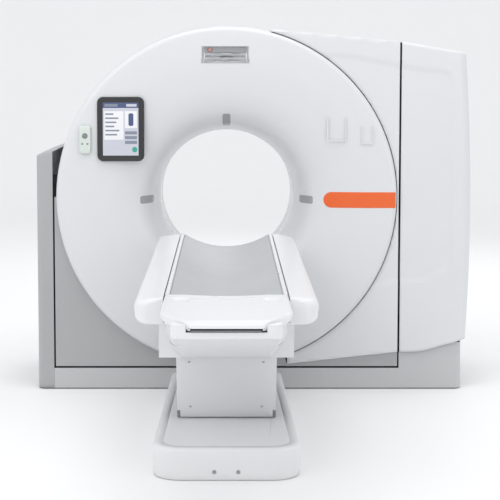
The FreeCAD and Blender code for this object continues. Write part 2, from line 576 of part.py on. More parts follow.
def unit_outline(inset):
    """Front view of the tilting unit: round on the upper left, square below and on the right."""
    half = "(unit_half - %s)" % inset
    dome = "(shroud_r - %s)" % inset
    return [("-" + half, "unit_bottom + " + inset), (half, "unit_bottom + " + inset),
            (half, "wing_z - " + inset), ("wing_x + " + inset, "wing_start_z - " + inset),
            ("wing_x + " + inset, "face_z + sqrt(%s^2 - (wing_x + %s)^2)" % (dome, inset)), ("arc", dome, 1),
            ("-" + dome, "face_z - " + inset), ("-" + half, "face_z - " + inset)]


shroud_ring = prism("shroud_ring", "XZ", [unit_outline("0"), unit_outline("unit_wall")],
                    "-panel_y + cover_wall", "panel_y - cover_wall")
shroud_bore = rod("shroud_bore", "X", "trunnion_r + cover_wall", "-unit_half - 1", "unit_half + 1", "0", "axis_z")
keep(cut("shroud_shell", shroud_ring, shroud_bore), "unit_shroud")

panel_step_z = "face_z - sqrt(panel_hole_r^2 - panel_step_x^2)"
keep(prism("panel_low", "XZ", [[("-unit_half", "unit_bottom"), ("unit_half", "unit_bottom"),
                                ("unit_half", "white_side_z - cover_parting"),
                                ("white_low_x", "white_low_z - cover_parting"),
                                ("panel_step_x", panel_step_z), ("arc", "panel_hole_r", -1),
                                ("-panel_hole_r", "face_z"), ("-unit_half", "face_z")]],
           "-panel_y", "-panel_y + cover_wall"), "lower_front_panel")


def white_outline(inset):
    """Front view of the white cover beside the disc, before the disc is cut out of it."""
    return [("white_low_x", "white_low_z + " + inset), ("unit_half - " + inset, "white_side_z + " + inset),
            ("unit_half - " + inset, "wing_z - " + inset),
            ("wing_x + " + inset, "wing_start_z - " + inset)]


white_shell = cut("white_shell", prism("white_skin", "XZ", [white_outline("0")], "-white_y", "-panel_y"),
                  prism("white_void", "XZ", [white_outline("unit_wall")], "-white_y + unit_wall", "-panel_y + 1"))
white_disc = rod("white_disc", "Y", "disc_r + shadow_gap", "-face_y", "-panel_y + 1", "0", "face_z")
keep(cut("white_cut", white_shell, white_disc), "inner_right_cover")

rear_plate = prism("rear_plate", "XZ", [unit_outline("0"), ("circle", "0", "axis_z", "dish_r + cover_wall")],
                   "panel_y - cover_wall", "panel_y")
rear_dish = turned("rear_dish", [("panel_y", "dish_r + cover_wall"), ("panel_y", "dish_r"),
                                     ("throat_y", "throat_r"), ("tunnel_y", "bore_r"), ("window_y", "bore_r"),
                                     ("window_y", "bore_r + cover_wall"), ("tunnel_y - 1", "bore_r + cover_wall"),
                                     ("throat_y - cover_wall * 0.6", "throat_r + cover_wall"),
                                     ("panel_y - cover_wall", "dish_r + cover_wall * 0.8"),
                                     ("panel_y - cover_wall", "dish_r + cover_wall")], "axis_z")
keep(rear_plate, "rear_cover")
keep(staves("rear_staves", rear_dish, "funnel_staves", "dish_r + cover_wall + 1", "0", "panel_y + 1"),
     "rear_funnel")

# ---------------------------------------------------------------- things on the front face


on_face = "(-face_y - seat_gap)"
tablet_case = prism("tablet_case", "XZ", [rounded("-tablet_left", "-tablet_right", "tablet_low", "tablet_high",
                                                  "tablet_round")], on_face + " - tablet_thick", on_face)
tablet_recess = block("tablet_recess", "-tablet_left + tablet_bezel", "-tablet_right - tablet_bezel",
                      on_face + " - tablet_thick - 1", on_face + " - tablet_thick + screen_thick",
                      "tablet_low + tablet_bezel", "tablet_high - tablet_bezel")
keep(cut("tablet", tablet_case, tablet_recess), "tablet_housing")
keep(block("screen", "-tablet_left + tablet_bezel + seat_gap", "-tablet_right - tablet_bezel - seat_gap",
           on_face + " - tablet_thick", on_face + " - tablet_thick + screen_thick",
           "tablet_low + tablet_bezel + seat_gap", "tablet_high - tablet_bezel - seat_gap"), "tablet_screen")
keep(prism("remote", "XZ", [rounded("-remote_left", "-remote_right", "remote_low", "remote_high", "remote_thick")],
           on_face + " - remote_thick", on_face), "remote_control")


def open_seat(name, left, right, low, high):
    """A raised rim, open at the top, that a hand unit drops into."""
    return prism(name, "XZ", [[(left, high), (left, low), (right, low), (right, high),
                               (right + " - seat_wall", high), (right + " - seat_wall", low + " + seat_wall"),
                               (left + " + seat_wall", low + " + seat_wall"), (left + " + seat_wall", high)]],
                 on_face + " - seat_thick", on_face)


keep(group("seats", [open_seat("seat_big", "seat_left", "seat_right", "seat_low", "seat_high"),
                     open_seat("seat_small", "small_left", "small_right", "small_low", "small_high")]),
     "holder_seats")

# The badge is a thin skin that lies on the dished face.
badge_skin = turned("badge_skin", [("-face_y - seat_gap", "disc_r"), ("-face_y - seat_gap - badge_thick", "disc_r"),
                                   ("-face_y - seat_gap - badge_thick", "crease_r"),
                                   ("-dish_y - seat_gap - badge_thick", "dish_r"), ("-dish_y - seat_gap", "dish_r"),
                                   ("-face_y - seat_gap", "crease_r")], "axis_z")
badge_turn = "(badge_high - badge_low) / 2"
badge_plan = prism("badge_plan", "XZ", [[("badge_left + " + badge_turn, "badge_low"), ("badge_right", "badge_low"),
                                         ("badge_right", "badge_high"), ("badge_left + " + badge_turn, "badge_high"),
                                         ("arc", badge_turn, 1), ("badge_left", "(badge_high + badge_low) / 2"),
                                         ("arc", badge_turn, 1)]],
                   "-face_y - cover_wall", "-dish_y + cover_wall")
keep(common("badge", badge_skin, badge_plan), "name_badge")

# ---------------------------------------------------------------- table base and lifting column

keep(block("duct", "-duct_half", "duct_half", "-base_far + seat_gap", "-panel_y - seat_gap", "0", "duct_high"),
     "floor_duct")

table_holes = [("circle", side + "table_anchor_x", "-column_mid_y " + end + " table_anchor_y", "table_anchor_r")
               for side in ("-", "") for end in ("-", "+")]
keep(prism("table_plate", "XY", [rectangle("-base_plate_half", "base_plate_half", "-base_plate_front",
                                           "-base_plate_far")] + table_holes, "0", "base_plate_thick"),
     "table_base_plate")


def base_plan(inset):
    """Plan of the table base: wider at the foot end, with large round corners there."""
    far = "(base_far_half - %s)" % inset
    near = "(base_front_half - %s)" % inset
    turn = "(base_round - %s)" % inset
    front = "(-base_front + %s)" % inset
    back = "(-base_far - %s)" % inset
    return [("-" + far, back), ("-" + near, front + " + " + turn), ("arc", turn, 1),
            ("-%s + %s" % (near, turn), front), ("%s - %s" % (near, turn), front), ("arc", turn, 1),
            (near, front + " + " + turn), (far, back)]


base_skin = prism("base_skin", "XY", [base_plan("0")], "base_floor_gap", "base_high")
base_void = prism("base_void", "XY", [base_plan("base_wall")], "base_floor_gap - 1", "base_high - base_wall")
base_hole = block("base_hole", "-column_half_x - base_wall", "column_half_x + base_wall",
                  "-column_mid_y - column_half_y - base_wall", "-column_mid_y + column_half_y + base_wall",
                  "base_high - base_wall - 1", "base_high + 1")
keep(cut("base_shell", base_skin, fuse("base_cuts", [base_void, base_hole])), "table_base_cover")


def column_stage(name, inset, low, high):
    """One square tube of the telescopic column, inset from the outermost one."""
    across = "(column_half_x - %s)" % inset
    deep = "(column_half_y - %s)" % inset
    walls = []
    for wall in ("0", "column_wall"):
        walls.append(rectangle("-(%s - %s)" % (across, wall), "%s - %s" % (across, wall),
                               "-column_mid_y - (%s - %s)" % (deep, wall), "-column_mid_y + %s - %s" % (deep, wall)))
    return prism(name, "XY", walls, low, high)


stage_step = "(column_wall + stage_gap)"
keep(column_stage("stage_outer", "0", "base_plate_thick", "outer_top"), "lift_column_outer")
keep(column_stage("stage_middle", stage_step, "middle_low", "middle_top"), "lift_column_middle")
keep(column_stage("stage_inner", "2 * " + stage_step, "inner_low", "inner_top"), "lift_column_inner")

bellows_plan = [rectangle("-(bellows_half - %s)" % wall, "bellows_half - %s" % wall,
                          "-bellows_front + %s" % wall, "-bellows_far - %s" % wall) for wall in ("0", "bellows_wall")]
keep(prism("bellows_tube", "XY", bellows_plan, "base_high + seat_gap", "tub_low - seat_gap"), "column_bellows")

shield_foot = "base_high + seat_gap"
keep(prism("shield", "YZ", [[("-shield_y", shield_foot), ("-shield_y - shield_lean", "shield_top"),
                             ("-shield_y - shield_lean - shield_thick", "shield_top"),
                             ("-shield_y - shield_thick", shield_foot)]], "-shield_half", "shield_half"),
     "column_front_panel")

# ---------------------------------------------------------------- raised table body

lift_rear = block("lift_rear", "-lift_plate_half", "lift_plate_half", "-slot_front", "-lift_far",
                  "lift_plate_low", "lift_plate_top")
lift_tongue = block("lift_tongue", "-tongue_half", "tongue_half", "-lift_front", "-slot_front + 1",
                    "lift_plate_low", "lift_plate_top")
lift_boss = block("lift_boss", "-column_half_x", "column_half_x", "-column_mid_y - column_half_y",
                  "-column_mid_y + column_half_y", "inner_top", "lift_plate_low + 1")
beams = []
for side, sign in (("l", "-"), ("r", "")):
    rear_ends = ("side_beam_in", "lift_plate_half") if sign == "" else ("-lift_plate_half", "-side_beam_in")
    front_ends = ("front_beam_in", "front_beam_out") if sign == "" else ("-front_beam_out", "-front_beam_in")
    beams.append(block("rear_beam_" + side, *rear_ends, "-slot_front", "-lift_far", "side_beam_low",
                       "lift_plate_low + 1"))
    beams.append(block("front_beam_" + side, *front_ends, "-front_beam_end", "-chin_back", "front_beam_low",
                       "lift_plate_low + 1"))
keep(fuse("lift_frame", [lift_rear, lift_tongue, lift_boss] + beams), "table_frame")

rails = [block("rail_l", "-rail_in - rail_wide", "-rail_in", "-rail_front", "-rail_far", "lift_plate_top", "rail_top"),
         block("rail_r", "rail_in", "rail_in + rail_wide", "-rail_front", "-rail_far", "lift_plate_top", "rail_top")]
keep(group("rails", rails), "slide_rails")

tub_skin = prism("tub_skin", "YZ", [[("-tub_front", "tub_low"), ("-tub_far_low", "tub_low"),
                                     ("-tub_far_mid", "tub_mid_z"), ("-tub_far_top", "tub_top"),
                                     ("-tub_front", "tub_top")]], "-tub_half", "tub_half")
tub_void = prism("tub_void", "YZ", [[("-tub_front + tub_wall", "tub_low + tub_wall"),
                                     ("-tub_far_low - tub_wall / 2", "tub_low + tub_wall"),
                                     ("-tub_far_mid - tub_wall", "tub_mid_z"),
                                     ("-tub_far_top - tub_wall", "tub_top + 1"),
                                     ("-tub_front + tub_wall", "tub_top + 1")]],
                 "-tub_half + tub_wall", "tub_half - tub_wall")
tub_column_hole = block("tub_column_hole", "-tub_open_half", "tub_open_half", "-tub_open_front", "-tub_open_far",
                        "tub_low - 1", "tub_low + tub_wall + 1")
tub_shield_hole = block("tub_shield_hole", "-slot_half_x", "slot_half_x", "-slot_front", "-slot_far",
                        "tub_low - 1", "tub_low + tub_wall + 1")
tub_tongue_hole = block("tub_tongue_hole", "-tongue_half - seat_gap", "tongue_half + seat_gap", "-tub_front - 1",
                        "-slot_front + 1", "lift_plate_low - seat_gap", "tub_top + 1")
tub_cuts = fuse("tub_cuts", [tub_void, tub_column_hole, tub_shield_hole, tub_tongue_hole])
keep(cut("tub", tub_skin, tub_cuts), "table_tub")

wing_low = "lift_plate_top + seat_gap"


def wing(name, sign):
    """A side fairing: flat top beside the tabletop, rounded outer edge, and a flat under-flange."""
    section = [("wing_seam", "wing_top"), ("wing_half - crown_x", "wing_top - crown_z"),
               ("wing_half - shoulder_x", "wing_top - shoulder_z"), ("wing_half", "wing_top - wing_side_z"),
               ("wing_half - wing_tuck", wing_low + " + wing_foot_z"), ("wing_half - wing_foot_x", wing_low),
               ("wing_root", wing_low), ("wing_root", wing_low + " + wing_wall"),
               ("wing_half - wing_foot_x - wing_wall / 2", wing_low + " + wing_wall"),
               ("wing_half - wing_tuck - wing_wall", wing_low + " + wing_foot_z + wing_wall * 0.3"),
               ("wing_half - wing_wall", "wing_top - wing_side_z - wing_wall / 5"),
               ("wing_half - shoulder_x - wing_wall * 0.6", "wing_top - shoulder_z - wing_wall * 0.8"),
               ("wing_half - crown_x - wing_wall / 5", "wing_top - crown_z - wing_wall"),
               ("wing_seam + wing_wall", "wing_top - wing_wall * 1.1"),
               ("wing_seam + wing_wall", wing_low + " + wing_lip"), ("wing_seam", wing_low + " + wing_lip")]
    if sign < 0:
        section = [("-(%s)" % across, up) for across, up in section]
    return prism(name, "XZ", [section], "-wing_front", "-wing_far")


keep(wing("wing_l", -1), "left_wing_cover")
keep(wing("wing_r", 1), "right_wing_cover")

chin_slope = "((chin_tip_low - tub_low) / (chin_tip - chin_back))"
chin_inner_tip = "(chin_tip - chin_wall * 5)"
def chin_plan(name, inset, low, high):
    """Plan of the chin cover, which narrows towards its nose."""
    side, nose = "(chin_half - %s)" % inset, "(chin_nose_half - %s)" % inset
    return prism(name, "XY", [[("-" + side, "-chin_back + 1"), ("-" + side, "-chin_taper"),
                               ("-" + nose, "-chin_tip"), (nose, "-chin_tip"), (side, "-chin_taper"),
                               (side, "-chin_back + 1")]], low, high)


chin_block = prism("chin_block", "YZ", [[("-chin_back", "tub_low"), ("-chin_back", "chin_rear_top"),
                                         ("-chin_step", "chin_rear_top"), ("-chin_step", "chin_top"),
                                         ("-collar_far", "chin_top"), ("-collar_far", "collar_top"),
                                         ("-chin_tip", "collar_top"), ("-chin_tip", "chin_tip_low")]],
                   "-chin_half", "chin_half")
chin_skin = common("chin_skin", chin_block, chin_plan("chin_plan_out", "0", "tub_low - 1", "collar_top + 1"))
chin_hollow = prism("chin_hollow", "YZ", [[("-chin_back + chin_lap", "tub_low + chin_wall - chin_lap * " + chin_slope),
                                           ("-chin_back + chin_lap", "chin_rear_top + chin_lap"),
                                           ("-chin_step - chin_wall", "chin_rear_top + chin_lap"),
                                           ("-chin_step - chin_wall", "chin_top - chin_wall"),
                                           ("-" + chin_inner_tip, "chin_top - chin_wall"),
                                           ("-" + chin_inner_tip, "tub_low + chin_wall + (%s - chin_back) * %s"
                                            % (chin_inner_tip, chin_slope))]], "-chin_half", "chin_half")
chin_inner = chin_plan("chin_plan_in", "chin_wall", "tub_low - 1", "cradle_edge_z")
chin_void = common("chin_void", chin_hollow, chin_inner)
foot_room = prism("foot_room", "XY", [[("-cradle_half - foot_gap", "-collar_far + 1"),
                                       ("-cradle_half - foot_gap", "-foot_straight"),
                                       ("arc", "foot_round", 1), ("-foot_tip_half - foot_gap", "-foot_tip"),
                                       ("foot_tip_half + foot_gap", "-foot_tip"), ("arc", "foot_round", 1),
                                       ("cradle_half + foot_gap", "-foot_straight"),
                                       ("cradle_half + foot_gap", "-collar_far + 1")]],
                  "chin_top", "collar_top + 1")
keep(cut("chin", chin_skin, fuse("chin_voids", [chin_void, foot_room])), "chin_cover")

# ---------------------------------------------------------------- sliding tabletop

lip_in = "(cradle_half - cradle_lip)"
dip_z = "(cradle_edge_z - cradle_lip_drop)"
side_drop = "(cradle_side_z - cradle_low)"
top_radius = "(%s^2 + cradle_dip^2) / (2 * cradle_dip)" % lip_in
under_radius = "(cradle_half^2 + %s^2) / (2 * %s)" % (side_drop, side_drop)
keep(prism("cradle_shell", "XZ", [[("-cradle_half", "cradle_side_z"), ("arc", under_radius, 1),
                                   ("cradle_half", "cradle_side_z"), ("cradle_half", "cradle_edge_z"),
                                   (lip_in, dip_z), ("arc", top_radius, -1), ("-" + lip_in, dip_z),
                                   ("-cradle_half", "cradle_edge_z")]],
           "-cradle_near", "-cradle_far"), "patient_cradle")

keep(prism("foot_board", "XY", [[("-cradle_half", "-cradle_near - seat_gap"), ("-cradle_half", "-foot_straight"),
                                 ("arc", "foot_round", 1), ("-foot_tip_half", "-foot_tip"),
                                 ("foot_tip_half", "-foot_tip"), ("arc", "foot_round", 1),
                                 ("cradle_half", "-foot_straight"), ("cradle_half", "-cradle_near - seat_gap")]],
           "foot_low", "cradle_edge_z"), "foot_plate")

keep(block("carriage_plate", "-carriage_half", "carriage_half", "-carriage_near", "-carriage_far",
           "rail_top + seat_gap", "cradle_low - seat_gap"), "tabletop_carriage")
keep(rod("roller", "X", "roller_r", "-rail_in + seat_gap", "rail_in - seat_gap", "-roller_y",
         "cradle_low - seat_gap - roller_r"), "support_roller")

# ---------------------------------------------------------------- checks and files

doc.recompute()
for item in doc.Objects:
    if "Invalid" in item.State or "Error" in item.State:
        raise RuntimeError("%s did not build: %s" % (item.Label, item.State))
os.makedirs("parts", exist_ok=True)
for feature in parts:
    shape = feature.Shape
    if shape.isNull() or not shape.isValid() or not shape.Solids:
        raise RuntimeError("%s has no sound solid" % feature.Label)
    shape.exportStep("parts/%s.step" % feature.Label)
    box = shape.optimalBoundingBox(False)
    print("%-24s %d solid  %10.0f cm3  x %6.0f..%6.0f  y %6.0f..%6.0f  z %6.0f..%6.0f" % (
        feature.Label, len(shape.Solids), shape.Volume / 1000, box.XMin, box.XMax, box.YMin, box.YMax,
        box.ZMin, box.ZMax))
print(len(parts), "sub-parts written")
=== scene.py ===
import math

import bmesh
import bpy
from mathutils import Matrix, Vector
from mathutils.kdtree import KDTree


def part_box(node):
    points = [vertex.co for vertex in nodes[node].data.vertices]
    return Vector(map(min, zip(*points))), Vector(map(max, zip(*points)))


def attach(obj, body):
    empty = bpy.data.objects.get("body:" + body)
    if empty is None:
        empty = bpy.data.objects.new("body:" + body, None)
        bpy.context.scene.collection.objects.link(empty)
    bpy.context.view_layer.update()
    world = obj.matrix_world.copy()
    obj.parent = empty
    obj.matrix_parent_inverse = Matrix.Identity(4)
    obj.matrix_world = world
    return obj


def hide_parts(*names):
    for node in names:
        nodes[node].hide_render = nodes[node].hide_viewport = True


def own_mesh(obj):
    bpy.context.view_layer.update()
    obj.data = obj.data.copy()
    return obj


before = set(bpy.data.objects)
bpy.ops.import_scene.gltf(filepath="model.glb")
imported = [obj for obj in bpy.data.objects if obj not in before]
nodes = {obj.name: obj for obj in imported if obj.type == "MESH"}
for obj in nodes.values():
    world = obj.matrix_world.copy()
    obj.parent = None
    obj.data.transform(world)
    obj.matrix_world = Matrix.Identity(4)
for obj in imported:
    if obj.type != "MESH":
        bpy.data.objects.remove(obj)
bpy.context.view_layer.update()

# ------------------------------------------------------------------ camera
# Stands level with the top of the gantry at the foot of the table and looks slightly down at it.

EYE = Vector((0.0, -7.4, 1.654))
PITCH = math.radians(4.6)
camera_data = bpy.data.cameras.new("studio_camera")
camera_data.lens = 99.7
camera_data.sensor_width = 36.0
camera_data.shift_x = 0.047
camera_data.shift_y = -0.1445
camera = bpy.data.objects.new("studio_camera", camera_data)
camera.location = EYE
camera.rotation_euler = (math.radians(90) - PITCH, 0.0, 0.0)
bpy.context.scene.collection.objects.link(camera)
bpy.context.scene.camera = camera

# ------------------------------------------------------------------ finishes shared by the mouldings
# Slow colour drift, fine grain, scuffs and settled dust, each a shader group that a finish places
# with its own values. They read the object's own coordinates, so they move with a piece.


def shader_group(name, inputs, outputs):
    """An empty node group with named value or colour sockets."""
    group = bpy.data.node_groups.new(name, "ShaderNodeTree")
    for label, kind, start in inputs:
        socket = group.interface.new_socket(label, in_out="INPUT", socket_type=kind)
        socket.default_value = start
    for label, kind in outputs:
        group.interface.new_socket(label, in_out="OUTPUT", socket_type=kind)
    return group, group.nodes.new("NodeGroupInput"), group.nodes.new("NodeGroupOutput")


def math_node(tree, operation, first, second):
    """A Math node whose inputs are sockets or plain numbers; returns its output."""
    node = tree.nodes.new("ShaderNodeMath")
    node.operation = operation
    for i, item in enumerate((first, second)):
        if hasattr(item, "is_output"):
            tree.links.new(item, node.inputs[i])
        else:
            node.inputs[i].default_value = item
    return node.outputs[0]


def noise_node(tree, scale, detail, vector):
    node = tree.nodes.new("ShaderNodeTexNoise")
    node.inputs["Detail"].default_value = detail
    if hasattr(scale, "is_output"):
        tree.links.new(scale, node.inputs["Scale"])
    else:
        node.inputs["Scale"].default_value = scale
    tree.links.new(vector, node.inputs["Vector"])
    return node.outputs["Fac"]


COLOUR, VALUE = "NodeSocketColor", "NodeSocketFloat"

# slow drift of colour and a little yellowing or greying over a moulding
drift, drift_in, drift_out = shader_group(
    "colour_drift", [("Colour", COLOUR, (0.8, 0.8, 0.8, 1)), ("Second", COLOUR, (0.7, 0.7, 0.7, 1)),
                     ("Scale", VALUE, 1.5)], [("Colour", COLOUR)])
drift_place = drift.nodes.new("ShaderNodeTexCoord").outputs["Object"]
drift_mix = drift.nodes.new("ShaderNodeMix")
drift_mix.data_type = "RGBA"
drift.links.new(noise_node(drift, drift_in.outputs["Scale"], 3.0, drift_place), drift_mix.inputs["Factor"])
drift.links.new(drift_in.outputs["Colour"], drift_mix.inputs["A"])
drift.links.new(drift_in.outputs["Second"], drift_mix.inputs["B"])
drift.links.new(drift_mix.outputs["Result"], drift_out.inputs["Colour"])

# moulded or sprayed grain as a height: fine cells over a softer orange peel
grain, grain_in, grain_out = shader_group("moulded_grain", [("Scale", VALUE, 900.0)], [("Height", VALUE)])
grain_place = grain.nodes.new("ShaderNodeTexCoord").outputs["Object"]
peel = noise_node(grain, math_node(grain, "MULTIPLY", grain_in.outputs["Scale"], 0.22), 2.0, grain_place)
fine = noise_node(grain, grain_in.outputs["Scale"], 4.0, grain_place)
grain_height = math_node(grain, "ADD", math_node(grain, "MULTIPLY", fine, 0.6), peel)
grain.links.new(grain_height, grain_out.inputs["Height"])

# roughness with cloudy handling marks and thin wiping streaks
scuff, scuff_in, scuff_out = shader_group(
    "handling_marks", [("Base", VALUE, 0.35), ("Depth", VALUE, 0.12)], [("Roughness", VALUE)])
scuff_place = scuff.nodes.new("ShaderNodeTexCoord").outputs["Object"]
stretch = scuff.nodes.new("ShaderNodeMapping")
stretch.inputs["Scale"].default_value = (3.0, 22.0, 9.0)
scuff.links.new(scuff_place, stretch.inputs["Vector"])
streaks = noise_node(scuff, 3.0, 8.0, stretch.outputs["Vector"])
clouds = noise_node(scuff, 2.2, 5.0, scuff_place)
swing = math_node(scuff, "SUBTRACT", math_node(scuff, "MULTIPLY", streaks, clouds), 0.22)
scuff.links.new(math_node(scuff, "ADD", scuff_in.outputs["Base"],
                          math_node(scuff, "MULTIPLY", swing, math_node(scuff, "MULTIPLY",
                                    scuff_in.outputs["Depth"], 3.0))), scuff_out.inputs["Roughness"])

# dust and mop marks that gather near the floor
dust, dust_in, dust_out = shader_group(
    "floor_dust", [("Colour", COLOUR, (0.8, 0.8, 0.8, 1)), ("Dust", COLOUR, (0.42, 0.40, 0.37, 1)),
                   ("Height", VALUE, 0.12), ("Amount", VALUE, 0.35)], [("Colour", COLOUR)])
dust_place = dust.nodes.new("ShaderNodeTexCoord").outputs["Object"]
split = dust.nodes.new("ShaderNodeSeparateXYZ")
dust.links.new(dust_place, split.inputs["Vector"])
height_share = math_node(dust, "DIVIDE", split.outputs["Z"], dust_in.outputs["Height"])
rise = math_node(dust, "SUBTRACT", 1.0, height_share)
fade = dust.nodes.new("ShaderNodeClamp")
dust.links.new(rise, fade.inputs["Value"])
speckle = noise_node(dust, 26.0, 6.0, dust_place)
dust_mix = dust.nodes.new("ShaderNodeMix")
dust_mix.data_type = "RGBA"
dust.links.new(math_node(dust, "MULTIPLY", math_node(dust, "MULTIPLY", fade.outputs[0], speckle),
                         dust_in.outputs["Amount"]), dust_mix.inputs["Factor"])
dust.links.new(dust_in.outputs["Colour"], dust_mix.inputs["A"])
dust.links.new(dust_in.outputs["Dust"], dust_mix.inputs["B"])
dust.links.new(dust_mix.outputs["Result"], dust_out.inputs["Colour"])


def place_group(tree, group, **values):
    """Adds a shader group to a material; a value may be a number, a colour or another node's output."""
    node = tree.nodes.new("ShaderNodeGroup")
    node.node_tree = group
    for label, item in values.items():
        if hasattr(item, "is_output"):
            tree.links.new(item, node.inputs[label])
        else:
            node.inputs[label].default_value = item
    return node


def finish(name, colour, second, rough, marks=0.12, drift_scale=1.5, grain_scale=900.0, grain_depth=0.06,
           metal=0.0, coat=0.0, dusty=0.0, specular=0.5):
    """A painted, moulded or metal finish built from the shared groups."""
    material = bpy.data.materials.new(name)
    material.use_nodes = True
    tree = material.node_tree
    shader = tree.nodes["Principled BSDF"]
    shader.inputs["Metallic"].default_value = metal
    shader.inputs["Coat Weight"].default_value = coat
    shader.inputs["Coat Roughness"].default_value = 0.12
    shader.inputs["Specular IOR Level"].default_value = specular
    tint = place_group(tree, drift, Colour=(*colour, 1), Second=(*second, 1), Scale=drift_scale)
    tint = tint.outputs["Colour"]
    if dusty:
        tint = place_group(tree, dust, Colour=tint, Amount=dusty).outputs["Colour"]
    tree.links.new(tint, shader.inputs["Base Color"])
    marks_node = place_group(tree, scuff, Base=rough, Depth=marks)
    tree.links.new(marks_node.outputs["Roughness"], shader.inputs["Roughness"])
    bump = tree.nodes.new("ShaderNodeBump")
    bump.inputs["Strength"].default_value = grain_depth
    bump.inputs["Distance"].default_value = 0.0006
    tree.links.new(place_group(tree, grain, Scale=grain_scale).outputs["Height"], bump.inputs["Height"])
    tree.links.new(bump.outputs["Normal"], shader.inputs["Normal"])
    return material


def coat_node(name, material):
    """Gives a fixed piece of the frame its finish."""
    for slot in nodes[name].material_slots:
        slot.material = material


white_gloss = finish("white_gloss", (0.69, 0.70, 0.712), (0.662, 0.672, 0.68), 0.32, marks=0.07, coat=0.2)
grey_texture = finish("grey_texture", (0.41, 0.415, 0.42), (0.38, 0.385, 0.39), 0.46, grain_scale=1400.0,
                      grain_depth=0.18, dusty=0.15)

# ------------------------------------------------------------------ front cover
# One vacuum-formed white shell: flat round face, dished funnel and the first half of the bore.
# Its outer edge is rolled back on to the tilting unit, and it is screwed on from behind.

disc_low, disc_high = (Vector(corner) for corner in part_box("front_cover"))
DISC_R = (disc_high.x - disc_low.x) / 2
FACE_Z = (disc_high.z + disc_low.z) / 2
FACE_Y = disc_low.y
AXIS_Z = 0.975
BORE_R = 0.350
CREASE_R = 0.690
ROLL_R = 0.026
SHELL = 0.006
TUNNEL_Y = -0.200
AROUND = 240


def new_piece(name, mesh, body, material, smooth=True):
    """Links a mesh as a piece that rides on a body."""
    piece = bpy.data.objects.new(name, mesh)
    bpy.context.scene.collection.objects.link(piece)
    if smooth:
        for face in mesh.polygons:
            face.use_smooth = True
    mesh.materials.append(material)
    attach(piece, body)
    return piece


def rings_mesh(name, rings, closed_rings=True, join_ends=False, capped=False):
    """A skin over rings of points that all have the same count."""
    points = [point for ring in rings for point in ring]
    count = len(rings[0])
    faces = []
    steps = count if closed_rings else count - 1
    last = len(rings) if join_ends else len(rings) - 1
    for i in range(last):
        below = i * count
        above = ((i + 1) % len(rings)) * count
        for j in range(steps):
            k = (j + 1) % count
            faces.append((below + j, below + k, above + k, above + j))
    if capped:
        faces.append(tuple(range(count - 1, -1, -1)))
        faces.append(tuple(range((len(rings) - 1) * count, len(rings) * count)))
    mesh = bpy.data.meshes.new(name)
    mesh.from_pydata(points, [], faces)
    mesh.update()
    work = bmesh.new()
    work.from_mesh(mesh)
    bmesh.ops.recalc_face_normals(work, faces=work.faces)
    work.to_mesh(mesh)
    work.free()
    return mesh


def ring_piece(name, rings, body, slot, material, sharp=0, **ends):
    """A piece skinned over rings; its edges past an angle in degrees stay sharp."""
    piece = new_piece(name, rings_mesh(name, rings, **ends), body, material)
    if sharp:
        piece.data.set_sharp_from_angle(angle=math.radians(sharp))
    return piece


BELL = ((BORE_R, -0.100), (BORE_R, TUNNEL_Y), (0.392, -0.330), (0.470, -0.400), (CREASE_R, FACE_Y),
        (0.790, FACE_Y))


def bell_curve(steps):
    """(radius, y) points of the bell mouth. It starts and ends half way along the outer control lines."""
    spots = []
    for before, corner, after in zip(BELL, BELL[1:], BELL[2:]):
        start = [(p + q) / 2 for p, q in zip(before, corner)]
        end = [(p + q) / 2 for p, q in zip(corner, after)]
        for i in range(steps):
            t = i / steps
            spots.append(tuple((1 - t) ** 2 * a + 2 * t * (1 - t) * c + t * t * b
                               for a, c, b in zip(start, corner, end)))
    return spots + [tuple(end)]


def face_profile(inset):
    """(radius, y) points of the shell from the bore's middle to the rolled edge."""
    start = [(BORE_R + inset, -0.0605), (BORE_R + inset, -0.11)]
    dish = [(radius + inset * 0.8, along + inset * 0.6) for radius, along in bell_curve(10)]
    flat = [(0.760, FACE_Y + inset), (0.800, FACE_Y + inset)]
    turn = [(DISC_R - ROLL_R + (ROLL_R - inset) * math.sin(angle), FACE_Y + ROLL_R - (ROLL_R - inset)
             * math.cos(angle)) for angle in (math.radians(90 * i / 8) for i in range(9))]
    end = [(DISC_R - inset, -0.3855)]
    return start + dish + flat + turn + end


def round_point(radius, along, angle):
    """A point of the face. The rolled edge is centred a little above the bore."""
    share = min(max((radius - CREASE_R) / 0.09, 0.0), 1.0)
    centre = AXIS_Z + (FACE_Z - AXIS_Z) * share
    return (radius * math.cos(angle), along, centre + radius * math.sin(angle))


profile = face_profile(0.0) + face_profile(SHELL)[::-1]
angles = [2 * math.pi * i / AROUND for i in range(AROUND)]
cover_rings = [[round_point(radius, along, angle) for angle in angles] for radius, along in profile]
front_shell = ring_piece("front_cover_shell", cover_rings, "tilt_unit", "cover_white", white_gloss,
                         join_ends=True)
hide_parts("front_cover", "front_funnel")


def carve(piece, cutter):
    """Cuts one piece with another mesh and throws the cutter away."""
    cut = piece.modifiers.new("cut", "BOOLEAN")
    cut.operation = "DIFFERENCE"
    cut.solver = "EXACT"
    cut.object = cutter
    result = bpy.data.meshes.new_from_object(piece.evaluated_get(bpy.context.evaluated_depsgraph_get()))
    piece.modifiers.remove(cut)
    piece.data = result
    bpy.data.objects.remove(cutter, do_unlink=True)


def cutter_box(low, high):
    """A plain box used only as a cutting tool."""
    corners = [(x, y, z) for x in (low[0], high[0]) for y in (low[1], high[1]) for z in (low[2], high[2])]
    mesh = bpy.data.meshes.new("cutter")
    sides = [(0, 1, 3, 2), (4, 6, 7, 5), (0, 4, 5, 1), (2, 3, 7, 6), (0, 2, 6, 4), (1, 5, 7, 3)]
    mesh.from_pydata(corners, [], sides)
    mesh.update()
    cutter = bpy.data.objects.new("cutter", mesh)
    bpy.context.scene.collection.objects.link(cutter)
    return cutter


